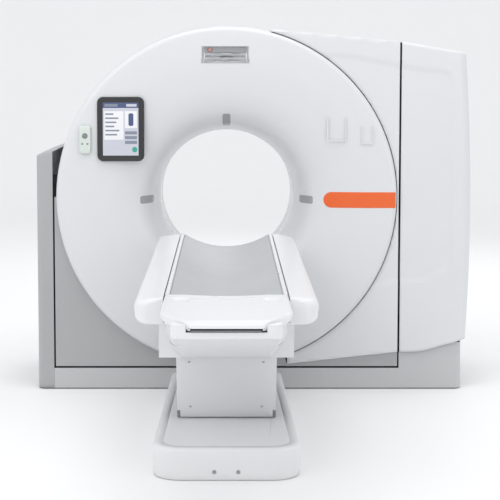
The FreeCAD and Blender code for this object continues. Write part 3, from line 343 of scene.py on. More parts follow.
tray_low, tray_high = (Vector(corner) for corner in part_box("control_tray"))
carve(front_shell, cutter_box((tray_low.x, FACE_Y - 0.02, tray_low.z),
                              (tray_high.x, FACE_Y + 0.04, tray_high.z)))
for face in front_shell.data.polygons:
    face.use_smooth = True
front_shell.data.set_sharp_from_angle(angle=math.radians(32))


BELL_SPOTS = bell_curve(16)


def face_y(x, z):
    """Where the front face's surface lies in front of a point; used to seat thin things on it."""
    radius = math.hypot(x, z - AXIS_Z)
    for (r0, y0), (r1, y1) in zip(BELL_SPOTS, BELL_SPOTS[1:]):
        if r0 <= radius <= r1 and r1 > r0:
            return y0 + (y1 - y0) * (radius - r0) / (r1 - r0)
    return FACE_Y if radius > CREASE_R else TUNNEL_Y


# ------------------------------------------------------------------ control tray and its window
# A scoop pressed into the face above the bore, with a smoked status window and one ring button.

TRAY_DEPTH = 0.022
WINDOW_LOW = 1.7235


def tray_depth(x, z):
    """Depth of the scoop: steep under the top lip, long and shallow towards the bottom."""
    up = (z - tray_low.z) / (tray_high.z - tray_low.z)
    side = min(x - tray_low.x, tray_high.x - x) / 0.020
    side = min(max(side, 0.0), 1.0)
    top = min(max((tray_high.z - z) / 0.006, 0.0), 1.0)
    rise = math.sin(min(up / 0.62, 1.0) * math.pi / 2) ** 1.6
    return TRAY_DEPTH * rise * top * (side * side * (3 - 2 * side))


tray_columns, tray_rows = 90, 44
tray_grid = []
for i in range(tray_rows + 1):
    z = tray_low.z + (tray_high.z - tray_low.z) * i / tray_rows
    row = [tray_low.x + (tray_high.x - tray_low.x) * j / tray_columns for j in range(tray_columns + 1)]
    tray_grid.append([(x, FACE_Y + tray_depth(x, z), z) for x in row])
tray_scoop = ring_piece("tray_scoop", tray_grid, "tilt_unit", "tray_grey", white_gloss, closed_rings=False)
thick = tray_scoop.modifiers.new("thick", "SOLIDIFY")
thick.thickness = 0.002
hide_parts("control_tray")

smoked = finish("smoked_window", (0.33, 0.34, 0.35), (0.30, 0.31, 0.32), 0.16, marks=0.05, coat=0.5)


def rounded_outline(left, right, low, high, turn, steps=8, turns=(1, 1, 1, 1)):
    """Corner-rounded rectangle as (x, z) points, counter-clockwise from the lower right corner."""
    spots = []
    corners = ((right, low, -90, turns[0]), (right, high, 0, turns[1]), (left, high, 90, turns[2]),
               (left, low, 180, turns[3]))
    for x, z, begin, share in corners:
        size = max(turn * share, 0.0002)
        cx = x - size if x == right else x + size
        cz = z + size if z == low else z - size
        for i in range(steps + 1):
            angle = math.radians(begin + 90 * i / steps)
            spots.append((cx + size * math.cos(angle), cz + size * math.sin(angle)))
    return spots


def plate_on(name, outline, front_of, thickness, edge, body, slot, material, lift=0.0003, rings=3):
    """A thin plate with softened edges that follows a surface y = front_of(x, z)."""
    mid_x = sum(x for x, _ in outline) / len(outline)
    mid_z = sum(z for _, z in outline) / len(outline)
    reach = max(math.hypot(x - mid_x, z - mid_z) for x, z in outline)

    def shrunk(share):
        return [(mid_x + (x - mid_x) * share, mid_z + (z - mid_z) * share) for x, z in outline]

    layers = [(1.0, -lift), (1.0, -lift - thickness + edge)]
    for i in range(1, 4):
        angle = math.radians(30 * i)
        layers.append((1 - edge * (1 - math.cos(angle)) / reach,
                       -lift - thickness + edge * (1 - math.sin(angle))))
    for i in range(1, rings + 1):
        layers.append(((1 - edge / reach) * (1 - i / (rings + 0.6)), -lift - thickness))
    skin = [[(x, front_of(x, z) + off, z) for x, z in shrunk(share)] for share, off in layers]
    return ring_piece(name, skin, body, slot, material, capped=True)


window_outline = rounded_outline(-0.111, 0.108, WINDOW_LOW, 1.7500, 0.004)
status_window = plate_on("status_window", window_outline, lambda x, z: FACE_Y + TRAY_DEPTH - 0.0012, 0.0016,
                         0.0006, "tilt_unit", "laser_window", smoked)

# ------------------------------------------------------------------ tray button
# A soft ring cap with a dished middle on a plain plunger; the whole cap is drawn in warm red, though the real
# button's middle is pale.

button_ring = finish("button_ring_red", (0.70, 0.33, 0.30), (0.62, 0.29, 0.27), 0.42, grain_depth=0.1)
button_low, button_high = (Vector(corner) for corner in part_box("tray_button"))
BUTTON = Vector(((button_low.x + button_high.x) / 2, button_low.y, (button_low.z + button_high.z) / 2))
BUTTON_R = (button_high.x - button_low.x) / 2
button_profile = [(0.0001, 0.0026), (0.0035, 0.0024), (0.0045, 0.0010), (0.0052, 0.0002), (0.0066, 0.0),
                  (0.0080, 0.0004), (BUTTON_R, 0.0018), (BUTTON_R, 0.0178), (0.0001, 0.0178)]
for plate in (status_window, tray_scoop):
    drill = bpy.data.objects.new("drill", rings_mesh("drill", [
        [(BUTTON.x + 0.0102 * math.cos(a), y, BUTTON.z + 0.0102 * math.sin(a)) for a in angles[::6]]
        for y in (FACE_Y - 0.01, FACE_Y + 0.06)], capped=True))
    bpy.context.scene.collection.objects.link(drill)
    carve(plate, drill)
cap_rings = [[(BUTTON.x + r * math.cos(a), BUTTON.y + y, BUTTON.z + r * math.sin(a)) for a in angles[::5]]
             for r, y in button_profile]
button_cap = ring_piece("tray_button_cap", cap_rings, "button", "button_ring", button_ring, capped=True)
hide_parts("tray_button")

# ------------------------------------------------------------------ laser windows
# Three smoked panes let into the funnel, at the top and at both sides of the bore.


def face_from_outline(name, outline, front, back, roll, step=0.012):
    """A moulded panel: an outline in (x, z) filled with a fine grid and rolled at its edge. front and back
    give its y at a point (x, z)."""
    work = bmesh.new()
    verts = [work.verts.new((x, 0, z)) for x, z in outline]
    work.faces.new(verts)
    low_x, high_x = min(x for x, _ in outline), max(x for x, _ in outline)
    low_z, high_z = min(z for _, z in outline), max(z for _, z in outline)
    for low, high, normal in ((low_x, high_x, (1, 0, 0)), (low_z, high_z, (0, 0, 1))):
        count = int((high - low) / step)
        for i in range(1, count):
            spot = low + (high - low) * i / count
            bmesh.ops.bisect_plane(work, geom=work.verts[:] + work.edges[:] + work.faces[:],
                                   plane_co=Vector(normal) * spot, plane_no=Vector(normal))
    bmesh.ops.remove_doubles(work, verts=work.verts, dist=0.0008)
    rim = [edge for edge in work.edges if edge.is_boundary]
    edge_points = [(vert.co.x, vert.co.z) for edge in rim for vert in edge.verts]
    reach = []
    rim_tree = kd_of(edge_points)
    for vert in work.verts:
        reach.append(rim_tree.find((vert.co.x, vert.co.z, 0))[2])
    for vert, gap in zip(work.verts, reach):
        inside = min(gap, roll)
        bend = roll - math.sqrt(max(roll * roll - (roll - inside) ** 2, 0.0))
        vert.co.y = front(vert.co.x, vert.co.z) + bend
    skirt = bmesh.ops.extrude_edge_only(work, edges=rim)["geom"]
    for item in skirt:
        if isinstance(item, bmesh.types.BMVert):
            item.co.y = back(item.co.x, item.co.z)
    bmesh.ops.recalc_face_normals(work, faces=work.faces)
    mesh = bpy.data.meshes.new(name)
    work.to_mesh(mesh)
    work.free()
    return mesh


def kd_of(points):
    """Nearest-point lookup over (x, z) points."""
    tree = KDTree(len(points))
    for i, (x, z) in enumerate(points):
        tree.insert((x, z, 0), i)
    tree.balance()
    return tree


def skin_on(name, outline, thickness, roll, body, material, step=0.006):
    """A thin plate that lies on the dished face and follows it."""
    mesh = face_from_outline(name, outline, lambda x, z: face_y(x, z) - thickness,
                             lambda x, z: face_y(x, z) + 0.001, roll, step)
    skin = new_piece(name, mesh, body, material)
    skin.data.set_sharp_from_angle(angle=math.radians(50))
    return skin


PANE_HALF = 0.020
pane_high = Vector(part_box("laser_windows")[1])
PANE_IN, PANE_OUT = 0.374, pane_high.x
for side, turn_by in (("top", 90), ("left", 180), ("right", 0)):
    spin = math.radians(turn_by)
    outline = []
    for along, across in rounded_outline(PANE_IN, PANE_OUT, -PANE_HALF, PANE_HALF, 0.010, 6):
        outline.append((along * math.cos(spin) - across * math.sin(spin),
                        AXIS_Z + along * math.sin(spin) + across * math.cos(spin)))
    pane = skin_on("laser_pane_" + side, outline, 0.0012, 0.0005, "tilt_unit", smoked, 0.003)
    if side == "top":
        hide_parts("laser_windows")

# ------------------------------------------------------------------ right-hand covers
# Two deep white mouldings on the power unit's side: an inner panel that ends against the round face
# and an outer wing wrapped round the cabinet. A shallow field is pressed into both.

FIELD_DEPTH = 0.005


def smooth_step(share):
    share = min(max(share, 0.0), 1.0)
    return share * share * (3 - 2 * share)


def field_top(x):
    """Top line of the pressed field: falls slowly outwards from the crown."""
    return 1.718 - 0.09 * smooth_step((x - 0.55) / 0.55) * 0.7 - 0.03 * (x - 0.55)


def field_low(x):
    return 0.515 + 0.04 * smooth_step((x - 0.62) / 0.3) + 0.05 * smooth_step((x - 1.00) / 0.1)


def field_depth(x, z):
    """How far the face is pressed in at a point of either cover."""
    soft = 0.020
    right = (1.152 - x) / soft
    high = (field_top(x) - z) / soft
    low = (z - field_low(x)) / soft
    near = (right, high, low)
    meet = min(near)
    for one, two in ((right, high), (right, low)):
        if one < 3 and two < 3:
            meet = min(meet, 3 - math.hypot(3 - one, 3 - two))
    return FIELD_DEPTH * smooth_step(meet)


def arc_points(cx, cz, radius, begin, end, steps):
    """(x, z) points along an arc, both ends included; angles in degrees."""
    turns = [math.radians(begin + (end - begin) * i / steps) for i in range(steps + 1)]
    return [(cx + radius * math.cos(turn), cz + radius * math.sin(turn)) for turn in turns]


SEAM_R = 0.8685
inner_low, inner_high = (Vector(corner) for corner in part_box("inner_right_cover"))
start_turn = math.degrees(math.acos(inner_low.x / SEAM_R))
foot_x = 0.3105
end_turn = -math.degrees(math.acos(foot_x / SEAM_R))
inner_outline = arc_points(0, FACE_Z, SEAM_R, start_turn, end_turn, 130)
inner_outline += [(foot_x, inner_low.z), (inner_high.x - 0.001, inner_low.z + 0.062),
                  (inner_high.x - 0.001, 1.7785), (inner_low.x + 0.0005, inner_high.z - 0.0005)]
inner_mesh = face_from_outline("inner_right_panel", inner_outline,
                               lambda x, z: inner_low.y + field_depth(x, z), lambda x, z: inner_high.y, 0.005)
inner_panel = new_piece("inner_right_panel", inner_mesh, "tilt_unit", white_gloss)
inner_panel.data.set_sharp_from_angle(angle=math.radians(40))
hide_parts("inner_right_cover")


def wrapped_cover(name, inner_x, outer_x, low_z, high_z, half_deep, corner, roll, press, body, material,
                  side=1, rows=120):
    """A cover wrapped round three sides of a cabinet, with a rolled top edge and a roof.
    outer_x(share) and low_z(x), high_z(x) shape it; side is -1 on the left of the machine."""
    def section(share, inset):
        out = outer_x(share) - inset
        turn = corner - inset
        deep = half_deep - inset
        flat = [(inner_x + (out - turn - inner_x) * i / 30, -deep) for i in range(30)]
        bend = arc_points(out - turn, -(deep - turn), turn, -90, 0, 12)
        along = [(out, -(deep - turn) * (1 - i / 8)) for i in range(1, 9)]
        half = flat + bend + along
        return half + [(x, -y) for x, y in half[-2::-1]]

    rows_of = [(i / rows, 0.0, 0.0) for i in range(rows + 1)]
    rows_of += [(1.0, roll * (1 - math.cos(a)), roll * math.sin(a))
                for a in (math.radians(15 * i) for i in range(1, 7))]
    rings = []
    for share, inset, rise in rows_of:
        ring = []
        for x, y in section(share, inset):
            low, high = low_z(x), high_z(x) - roll
            z = low + (high - low) * share + rise
            front = press(x, z) if y < 0 and not inset else 0.0
            ring.append((side * x, y + front, z))
        rings.append(ring)
    mesh = rings_mesh(name, rings, closed_rings=False)
    work = bmesh.new()
    work.from_mesh(mesh)
    work.verts.ensure_lookup_table()
    count = len(rings[0])
    first = (len(rings) - 1) * count
    for i in range(count // 2):
        corners = (first + i, first + i + 1, first + count - 2 - i, first + count - 1 - i)
        corners = list(dict.fromkeys(corners))
        if len(corners) > 2:
            work.faces.new([work.verts[c] for c in corners])
    bmesh.ops.recalc_face_normals(work, faces=work.faces)
    work.to_mesh(mesh)
    work.free()
    cover = new_piece(name, mesh, body, material)
    shell = cover.modifiers.new("shell", "SOLIDIFY")
    shell.thickness = 0.004
    shell.offset = -1
    return cover


upper_low = Vector(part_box("cabinet_upper_cover")[0])


def upper_outer(share):
    """Side line of the wing: leans out to its middle and back in to the top."""
    return 1.2300 + 0.098 * share * (1 - share) - 0.013 * share


def upper_bottom(x):
    return 0.196 + 0.050 * smooth_step((x - 0.95) / 0.25) + 0.014 * smooth_step((x - 1.15) / 0.08)


def upper_top(x):
    return 1.778 - 0.171 * (x - 0.884)


outer_wing = wrapped_cover("cabinet_wing", upper_low.x + 0.0005, upper_outer, upper_bottom, upper_top,
                           -upper_low.y, 0.062, 0.014, field_depth, "base", white_gloss)
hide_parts("cabinet_upper_cover")

# ------------------------------------------------------------------ left column cover
# A tall textured grey moulding wrapped round the left bearing stand, screwed on along its inner edge.

column_low, column_high = (Vector(corner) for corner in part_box("left_column_cover"))
column_wrap = wrapped_cover("left_column_wrap", -column_high.x + 0.0005, lambda share: -column_low.x,
                            lambda x: column_low.z,
                            lambda x: column_high.z - 0.018 * smooth_step((x - 0.90) / 0.07), -column_low.y,
                            0.028, 0.010, lambda x, z: 0.0, "base", grey_texture, side=-1,
                            rows=60)
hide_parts("left_column_cover")

# ------------------------------------------------------------------ status tablet
# A glossy black tablet in a slim case; its screen shows a plain patient form as fields of colour.

tablet_low, tablet_high = (Vector(corner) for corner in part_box("tablet_housing"))
black_gloss = finish("black_gloss", (0.012, 0.012, 0.014), (0.018, 0.018, 0.020), 0.14, marks=0.10, coat=0.4,
                     grain_depth=0.01)
BEZEL = 0.029
case_outline = rounded_outline(tablet_low.x, tablet_high.x, tablet_low.z, tablet_high.z, 0.030, 10)
tablet_case = plate_on("tablet_case", case_outline, lambda x, z: tablet_high.y,
                       tablet_high.y - tablet_low.y - 0.0006, 0.003, "tilt_unit", "tablet_black", black_gloss)
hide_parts("tablet_housing")

screen_low = Vector((tablet_low.x + BEZEL, tablet_low.y, tablet_low.z + BEZEL))
screen_high = Vector((tablet_high.x - BEZEL, tablet_low.y, tablet_high.z - BEZEL))
SCREEN_W = screen_high.x - screen_low.x
SCREEN_H = screen_high.z - screen_low.z


def lit(name, colour, strength, rough=0.12):
    """A glowing field of the display under glass, a little uneven across the panel."""
    material = finish(name, tuple(c * 0.25 for c in colour), tuple(c * 0.22 for c in colour), rough,
                      marks=0.04, coat=0.6, grain_depth=0.01)
    tree = material.node_tree
    shader = tree.nodes["Principled BSDF"]
    shader.inputs["Emission Strength"].default_value = strength
    dimmer = tuple(c * 0.90 for c in colour)
    glow = place_group(tree, drift, Colour=(*colour, 1), Second=(*dimmer, 1), Scale=6.0)
    tree.links.new(glow.outputs["Colour"], shader.inputs["Emission Color"])
    return material


lit_page = lit("lit_page", (0.62, 0.64, 0.72), 0.75)
lit_blue = lit("lit_blue", (0.055, 0.085, 0.22), 0.8)
lit_line = lit("lit_line", (0.25, 0.28, 0.36), 0.7)
lit_white = lit("lit_white", (0.86, 0.87, 0.90), 0.8)
lit_green = lit("lit_green", (0.03, 0.34, 0.27), 0.9)


def screen_field(name, left, right, low, high, material, layer=1, turn=0.0015):
    """A field of the display, placed by shares of the screen's width and height."""
    outline = rounded_outline(screen_low.x + SCREEN_W * left, screen_low.x + SCREEN_W * right,
                              screen_low.z + SCREEN_H * low, screen_low.z + SCREEN_H * high, turn, 4)
    return plate_on(name, outline, lambda x, z: tablet_low.y + 0.0004 - 0.00025 * layer, 0.0002, 0.0001,
                    "tilt_unit", "screen_glass", material, lift=0.0, rings=1)


screen_page = screen_field("screen_page", 0, 1, 0, 1, lit_page, 0)
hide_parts("tablet_screen")
screen_field("screen_header", 0, 1, 0.90, 1, lit_blue)
screen_field("screen_name", 0.05, 0.42, 0.925, 0.975, lit_line, 2)
screen_field("screen_tab", 0.66, 0.95, 0.925, 0.975, lit_page, 2)
screen_field("screen_list", 0.04, 0.58, 0.30, 0.84, lit_white)
for i in range(6):
    screen_field("screen_row_%d" % i, 0.07, 0.30 + 0.20 * ((i * 37 % 10) / 10), 0.77 - 0.078 * i,
                 0.80 - 0.078 * i, lit_line, 2, 0.0008)
screen_field("screen_panel", 0.62, 0.96, 0.52, 0.84, lit_white)
screen_field("screen_figure", 0.72, 0.86, 0.56, 0.80, lit_blue, 2, 0.008)
for i in range(3):
    screen_field("screen_key_%d" % i, 0.62, 0.96, 0.40 - 0.09 * i, 0.46 - 0.09 * i, lit_line, 1, 0.002)
screen_field("screen_footer", 0.04, 0.58, 0.06, 0.24, lit_page, 2, 0.003)
screen_field("screen_ready", 0.82, 0.965, 0.06, 0.165, lit_green, 2, 0.0125)

# ------------------------------------------------------------------ hand remote
# A small pale remote parked in its seat, with a dark round pad and two rubber keys.

remote_low, remote_high = (Vector(corner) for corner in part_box("remote_control"))
pale_plastic = finish("pale_plastic", (0.66, 0.71, 0.66), (0.60, 0.66, 0.61), 0.38, grain_scale=1600.0,
                      grain_depth=0.08)
remote_outline = rounded_outline(remote_low.x, remote_high.x, remote_low.z, remote_high.z, 0.016, 8)
remote_body = plate_on("remote_body", remote_outline, lambda x, z: remote_high.y,
                       remote_high.y - remote_low.y - 0.0022, 0.005, "tilt_unit", "remote_pale", pale_plastic)
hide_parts("remote_control")
rubber_grey = finish("rubber_grey", (0.22, 0.25, 0.25), (0.19, 0.21, 0.22), 0.62, grain_depth=0.15)
mid_x = (remote_low.x + remote_high.x) / 2


def round_pad(name, x, z, radius, rise, body, slot, material, at=remote_low.y + 0.0022):
    """A domed round key."""
    outline = [(x + radius * math.cos(a), z + radius * math.sin(a)) for a in angles[::6]]
    return plate_on(name, outline, lambda px, pz: at, rise, min(rise, radius * 0.3) * 0.9, body, slot,
                    material, lift=0.0)


round_pad("remote_pad", mid_x, remote_low.z + 0.090, 0.0145, 0.0016, "tilt_unit", "remote_pale", rubber_grey)
for name, x in (("remote_key_l", mid_x - 0.013), ("remote_key_r", mid_x + 0.013)):
    round_pad(name, x, remote_low.z + 0.050, 0.005, 0.0012, "tilt_unit", "remote_pale", rubber_grey)

# ------------------------------------------------------------------ side badge
# A plain orange plate let into the right of the face, its inner end rounded; no lettering.

badge_low, badge_high = (Vector(corner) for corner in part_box("name_badge"))
orange = finish("badge_orange", (0.80, 0.125, 0.014), (0.76, 0.11, 0.012), 0.30, grain_depth=0.03, coat=0.3)
badge_half = (badge_high.z - badge_low.z) / 2
badge_outline = rounded_outline(badge_low.x, badge_high.x, badge_low.z, badge_high.z, badge_half, 14,
                                turns=(0.12, 0.12, 1, 1))
name_plate = skin_on("side_badge", badge_outline, 0.0015, 0.0008, "tilt_unit", orange)
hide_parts("name_badge")

# ------------------------------------------------------------------ table base cover
# One white moulding round the foot of the table with big front corners, a rolled top edge, a shallow
# inset panel on its top and two screw heads low on the front.

base_low, base_high = (Vector(corner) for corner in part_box("table_base_cover"))
bellows_low, bellows_high = (Vector(corner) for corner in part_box("column_bellows"))
table_white = finish("table_white", (0.755, 0.76, 0.765), (0.725, 0.73, 0.735), 0.32, marks=0.07, coat=0.2,
                     dusty=0.12)


def base_ring(z, inset):
    """Outline of the foot in plan, drawn in by an inset, as points at one height."""
    far_half, near_half = 0.272 - inset, 0.300 - inset
    far_y, near_y = base_high.y - inset, base_low.y + inset
    turn = 0.110 - inset * 0.6
    right = [(far_half + (near_half - far_half) * i / 30, far_y + (near_y + turn - far_y) * i / 30)
             for i in range(30)]
    corner = [(near_half - turn + turn * math.cos(a), near_y + turn - turn * math.sin(a))
              for a in (math.radians(90 * i / 16) for i in range(16))]
    front = [((near_half - turn) * (1 - i / 8), near_y) for i in range(8)]
    half = right + corner + front + [(0.0, near_y)]
    loop = half + [(-x, y) for x, y in half[-2::-1]]
    loop += [(-far_half + 2 * far_half * i / 12, far_y) for i in range(1, 12)]
    return [(x, y, z) for x, y in loop]


def column_hole(z):
    """The opening under the folds, with as many points as the outline."""
    right, far_y, near_y = 0.195, bellows_high.y - 0.020, bellows_low.y + 0.020
    half = [(right, far_y + (near_y - far_y) * i / 46) for i in range(46)]
    half += [(right * (1 - i / 8), near_y) for i in range(9)]
    loop = half + [(-x, y) for x, y in half[-2::-1]]
    loop += [(-right + 2 * right * i / 12, far_y) for i in range(1, 12)]
    return [(x, y, z) for x, y in loop]


ROLL = 0.014
top = base_high.z
foot_rings = [base_ring(base_low.z, 0.004), base_ring(base_low.z + 0.010, 0.0)]
foot_rings += [base_ring(base_low.z + 0.010 + 0.105 * i / 6, 0.0) for i in range(1, 7)]
foot_rings += [base_ring(top - ROLL + ROLL * math.sin(a), ROLL * (1 - math.cos(a)))
               for a in (math.radians(15 * i) for i in range(1, 7))]
foot_rings += [base_ring(top, 0.040), base_ring(top - 0.0015, 0.0408), base_ring(top - 0.0022, 0.0425),
               base_ring(top - 0.0010, 0.0445), base_ring(top - 0.0008, 0.050), column_hole(top - 0.0008)]
foot_cover = ring_piece("table_foot_cover", foot_rings, "base", "table_white", table_white)
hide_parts("table_base_cover")

# small steel screws, each a shallow dome with a round socket
screw_steel = finish("screw_steel", (0.42, 0.42, 0.43), (0.36, 0.36, 0.37), 0.34, metal=1.0, grain_depth=0.02)


def screw_head(name, x, y, z, radius, body, slot, out=(0, -1, 0)):
    """A button-head screw that looks along a direction."""
    turn = Vector((0, -1, 0)).rotation_difference(Vector(out))
    stages = ((1.0, 0.0), (1.0, 0.16), (0.90, 0.34), (0.72, 0.44), (0.52, 0.48), (0.46, 0.44), (0.44, 0.14))
    centre = Vector((x, y, z))
    rings = [[centre + turn @ Vector((radius * r * math.cos(a), -radius * h, radius * r * math.sin(a)))
              for a in angles[::12]] for r, h in stages]
    return ring_piece(name, rings, body, slot, screw_steel, capped=True)


for i, x in enumerate((-0.049, 0.047)):
    screw_head("foot_screw_%d" % i, x, base_low.y, 0.036, 0.0085, "base", "base_grey")

# ------------------------------------------------------------------ lift column folds and front panel
# Grey coated-fabric folds over the telescoping column, closed in front by a leaning silver sheet with
# four screws and two end brackets. The folds close up as the table goes down.
# On the real table the folds close up as it goes down; here they keep one fixed shape on the base.

fold_cloth = finish("fold_cloth", (0.30, 0.30, 0.31), (0.26, 0.26, 0.27), 0.62, grain_scale=2200.0,
                    grain_depth=0.35, coat=0.0)
FOLDS = 13


def fold_ring(z, inset):
    right, far_y, near_y, turn = bellows_high.x - inset, bellows_high.y - inset, bellows_low.y + inset, 0.020
    corners = ((right - turn, near_y + turn, -90), (right - turn, far_y - turn, 0),
               (-right + turn, far_y - turn, 90), (-right + turn, near_y + turn, 180))
    return [(x, y, z) for cx, cy, begin in corners for x, y in arc_points(cx, cy, turn, begin, begin + 90, 6)]


fold_rings = []
for i in range(FOLDS * 8 + 1):
    z = bellows_low.z + (bellows_high.z - bellows_low.z) * i / (FOLDS * 8)
    wave = abs(((i / 8) % 1.0) * 2 - 1)
    fold_rings.append(fold_ring(z, 0.020 * smooth_step(wave) * 0.6 + 0.020 * wave * 0.4))
fold_mesh = rings_mesh("column_folds", fold_rings)
folds = new_piece("column_folds", fold_mesh, "base", fold_cloth, smooth=False)
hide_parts("column_bellows")
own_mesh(folds)

silver = finish("panel_silver", (0.78, 0.785, 0.79), (0.72, 0.725, 0.735), 0.36, marks=0.10, metal=0.22,
                grain_scale=1800.0, grain_depth=0.05, coat=0.1)
sheet_low, sheet_high = (Vector(corner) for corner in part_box("column_front_panel"))
SHEET_FOOT_Y = -1.482
LEAN = (sheet_low.y - SHEET_FOOT_Y) / (sheet_high.z - sheet_low.z)


def sheet_y(z):
    """Outer face of the leaning sheet."""
    return SHEET_FOOT_Y + (z - sheet_low.z) * LEAN


sheet_outline = rounded_outline(-0.2135, 0.2135, sheet_low.z + 0.004, sheet_high.z - 0.002, 0.005, 5)
front_sheet = plate_on("column_sheet", sheet_outline, lambda x, z: sheet_y(z) + 0.0060, 0.0052, 0.0018,
                       "base", "panel_silver", silver)
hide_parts("column_front_panel")
lean_turn = Vector((0, -1, -LEAN)).normalized()
for i, (x, z) in enumerate(((-0.159, 0.404), (0.157, 0.404), (-0.156, 0.188), (0.153, 0.188))):
    screw_head("sheet_screw_%d" % i, x, sheet_y(z) + 0.0006, z, 0.0052, "base", "panel_silver", lean_turn)
for name, x in (("l", -0.2055), ("r", 0.2055)):
    clip = rounded_outline(x - 0.0085 if x < 0 else x - 0.0055, x + 0.0055 if x < 0 else x + 0.0085,
                           sheet_low.z + 0.002, sheet_low.z + 0.038, 0.0025, 4)
    clip = [(min(max(px, -0.2138), 0.2138), pz) for px, pz in clip]
    plate_on("sheet_clip_" + name, clip, lambda px, pz: sheet_y(pz) + 0.0022, 0.0014, 0.0006, "base",
             "panel_silver", screw_steel)

# ------------------------------------------------------------------ table wings
# Two long white fairings beside the tabletop, gently crowned, with a round outer edge and near corner.

wing_low, wing_high = (Vector(corner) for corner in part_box("right_wing_cover"))
WING_END = 0.085
WING_SEAM = 0.228


def wing_section(half, rise):
    """Closed (x, z) section from the seam over the top and round to the root."""
    crown = [(WING_SEAM + (half - 0.030 - WING_SEAM) * i / 14, wing_high.z - 0.011 * (i / 14) ** 2)
             for i in range(15)]
    corner = [(half - 0.030 + 0.030 * math.sin(a), wing_high.z - 0.041 + 0.030 * math.cos(a))
              for a in (math.radians(90 * i / 10) for i in range(1, 11))]
    side = [(half - 0.003 * i / 5, wing_high.z - 0.041 - 0.034 * i / 5) for i in range(1, 6)]
    low = [(half - 0.003 - 0.022 * (1 - math.cos(a)), wing_high.z - 0.075 - 0.022 * math.sin(a))
           for a in (math.radians(90 * i / 8) for i in range(1, 9))]
    under = [(half - 0.025 - (half - 0.025 - wing_low.x) * i / 6, wing_low.z + 0.003 * (1 - i / 6))
             for i in range(1, 7)]
    root = [(wing_low.x, wing_low.z + 0.004), (WING_SEAM, wing_low.z + 0.006),
            (WING_SEAM, wing_high.z - 0.060)]
    loop = crown + corner + side + low + under + root
    mid = wing_high.z - 0.045
    return [(x, mid + (z - mid) * rise) for x, z in loop]


for side, sign in (("left", -1), ("right", 1)):
    rings = []
    steps = [(wing_high.y - 0.0005, 0.004, 0.94), (wing_high.y - 0.003, 0.001, 0.985),
             (wing_high.y - 0.007, 0.0, 1.0)]
    steps += [(wing_high.y - 0.007 - (wing_high.y - 0.007 - wing_low.y - WING_END) * i / 24, 0.0, 1.0)
              for i in range(1, 25)]
    for i in range(1, 13):
        turn = math.radians(90 * i / 12)
        steps.append((wing_low.y + WING_END * (1 - math.sin(turn)) + 0.0005, 0.055 * (1 - math.cos(turn)),
                      1.0 - 0.10 * max(0.0, (i - 8) / 4) ** 2))
    for along, draw, rise in steps:
        rings.append([(sign * x, along, z) for x, z in wing_section(wing_high.x - draw, rise)])
    wing = ring_piece(side + "_wing", rings, "table_body", "table_white", table_white, 45, capped=True)
    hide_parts(side + "_wing_cover")

# ------------------------------------------------------------------ patient tabletop
# A long concave carbon-fibre shell in a grey matt lacquer with a bright rim strip along each edge.

cradle_low, cradle_high = (Vector(corner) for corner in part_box("patient_cradle"))
cradle_grey = finish("cradle_grey", (0.42, 0.43, 0.44), (0.385, 0.395, 0.405), 0.36, grain_scale=1500.0,
                     grain_depth=0.08, coat=0.15)
rim_white = finish("rim_white", (0.74, 0.75, 0.755), (0.70, 0.71, 0.715), 0.30, coat=0.2)
HALF = cradle_high.x
LIP = 0.205
DIP = 0.060
LIP_DROP = 0.006
EDGE_Z = 0.800


def cradle_top(x):
    """Height of the concave lying surface."""
    radius = (LIP * LIP + DIP * DIP) / (2 * DIP)
    return cradle_high.z - LIP_DROP - DIP + radius - math.sqrt(radius * radius - x * x)


def cradle_under(x):
    drop = EDGE_Z - cradle_low.z
    radius = (HALF * HALF + drop * drop) / (2 * drop)
    return cradle_low.z + radius - math.sqrt(max(radius * radius - x * x, 0.0))


def cradle_loop(inset):
    """Closed section of the grey shell, drawn in a little at its ends."""
    half = HALF - 0.0002 - inset
    top_path = [(-LIP + 0.001 + (2 * LIP - 0.002) * i / 48, 0) for i in range(49)]
    top_path = [(x, cradle_top(x) - inset) for x, _ in top_path]
    edge = [(LIP + 0.0012, cradle_high.z - 0.010 - inset), (half - 0.004, cradle_high.z - 0.010 - inset),
            (half, cradle_high.z - 0.014 - inset)]
    under = [(half * math.cos(math.radians(180 * i / 48)), 0) for i in range(49)]
    under = [(x, cradle_under(x * 0.9999) + inset) for x, _ in under]
    return top_path + edge + under + [(-x, z) for x, z in edge[::-1]]


cradle_steps = [(cradle_high.y - 0.0004, 0.003), (cradle_high.y - 0.0014, 0.0010),
                (cradle_high.y - 0.0034, 0.0)]
cradle_steps += [(cradle_high.y - 0.0034 - (cradle_high.y - cradle_low.y - 0.005) * i / 20, 0.0)
                 for i in range(1, 21)]
cradle_steps += [(cradle_low.y + 0.0002, 0.0018)]
cradle_rings = [[(x, along, z) for x, z in cradle_loop(inset)] for along, inset in cradle_steps]
cradle = ring_piece("tabletop_shell", cradle_rings, "tabletop", "cradle_grey", cradle_grey, 38,
                    capped=True)
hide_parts("patient_cradle")

for side, sign in (("left", -1), ("right", 1)):
    strip = [(LIP + 0.0040, cradle_high.z - 0.0098), (LIP + 0.0040, cradle_high.z - 0.003)]
    strip += [(LIP + 0.0070 - 0.003 * math.cos(a), cradle_high.z - 0.003 + 0.0028 * math.sin(a)) for a in
              (math.radians(22.5 * i) for i in range(1, 5))]
    strip += [(HALF - 0.0052 + 0.005 * math.sin(a), cradle_high.z - 0.0052 + 0.005 * math.cos(a)) for a in
              (math.radians(15 * i) for i in range(7))]
    strip += [(HALF - 0.0002, cradle_high.z - 0.0098)]
    rings = [[(sign * x, along, z) for x, z in strip] for along in
             (cradle_high.y - 0.0006, *(cradle_high.y - 0.0006 - 1.8635 * i / 6 for i in range(1, 7)))]
    ring_piece("tabletop_rim_" + side, rings, "tabletop", "cradle_grey", rim_white, 50, capped=True)

# ------------------------------------------------------------------ foot plate
# A white moulded plate that closes the near end of the tabletop: rolled nose, tapered sides and two
# shallow finger recesses for pulling the tabletop out by hand.

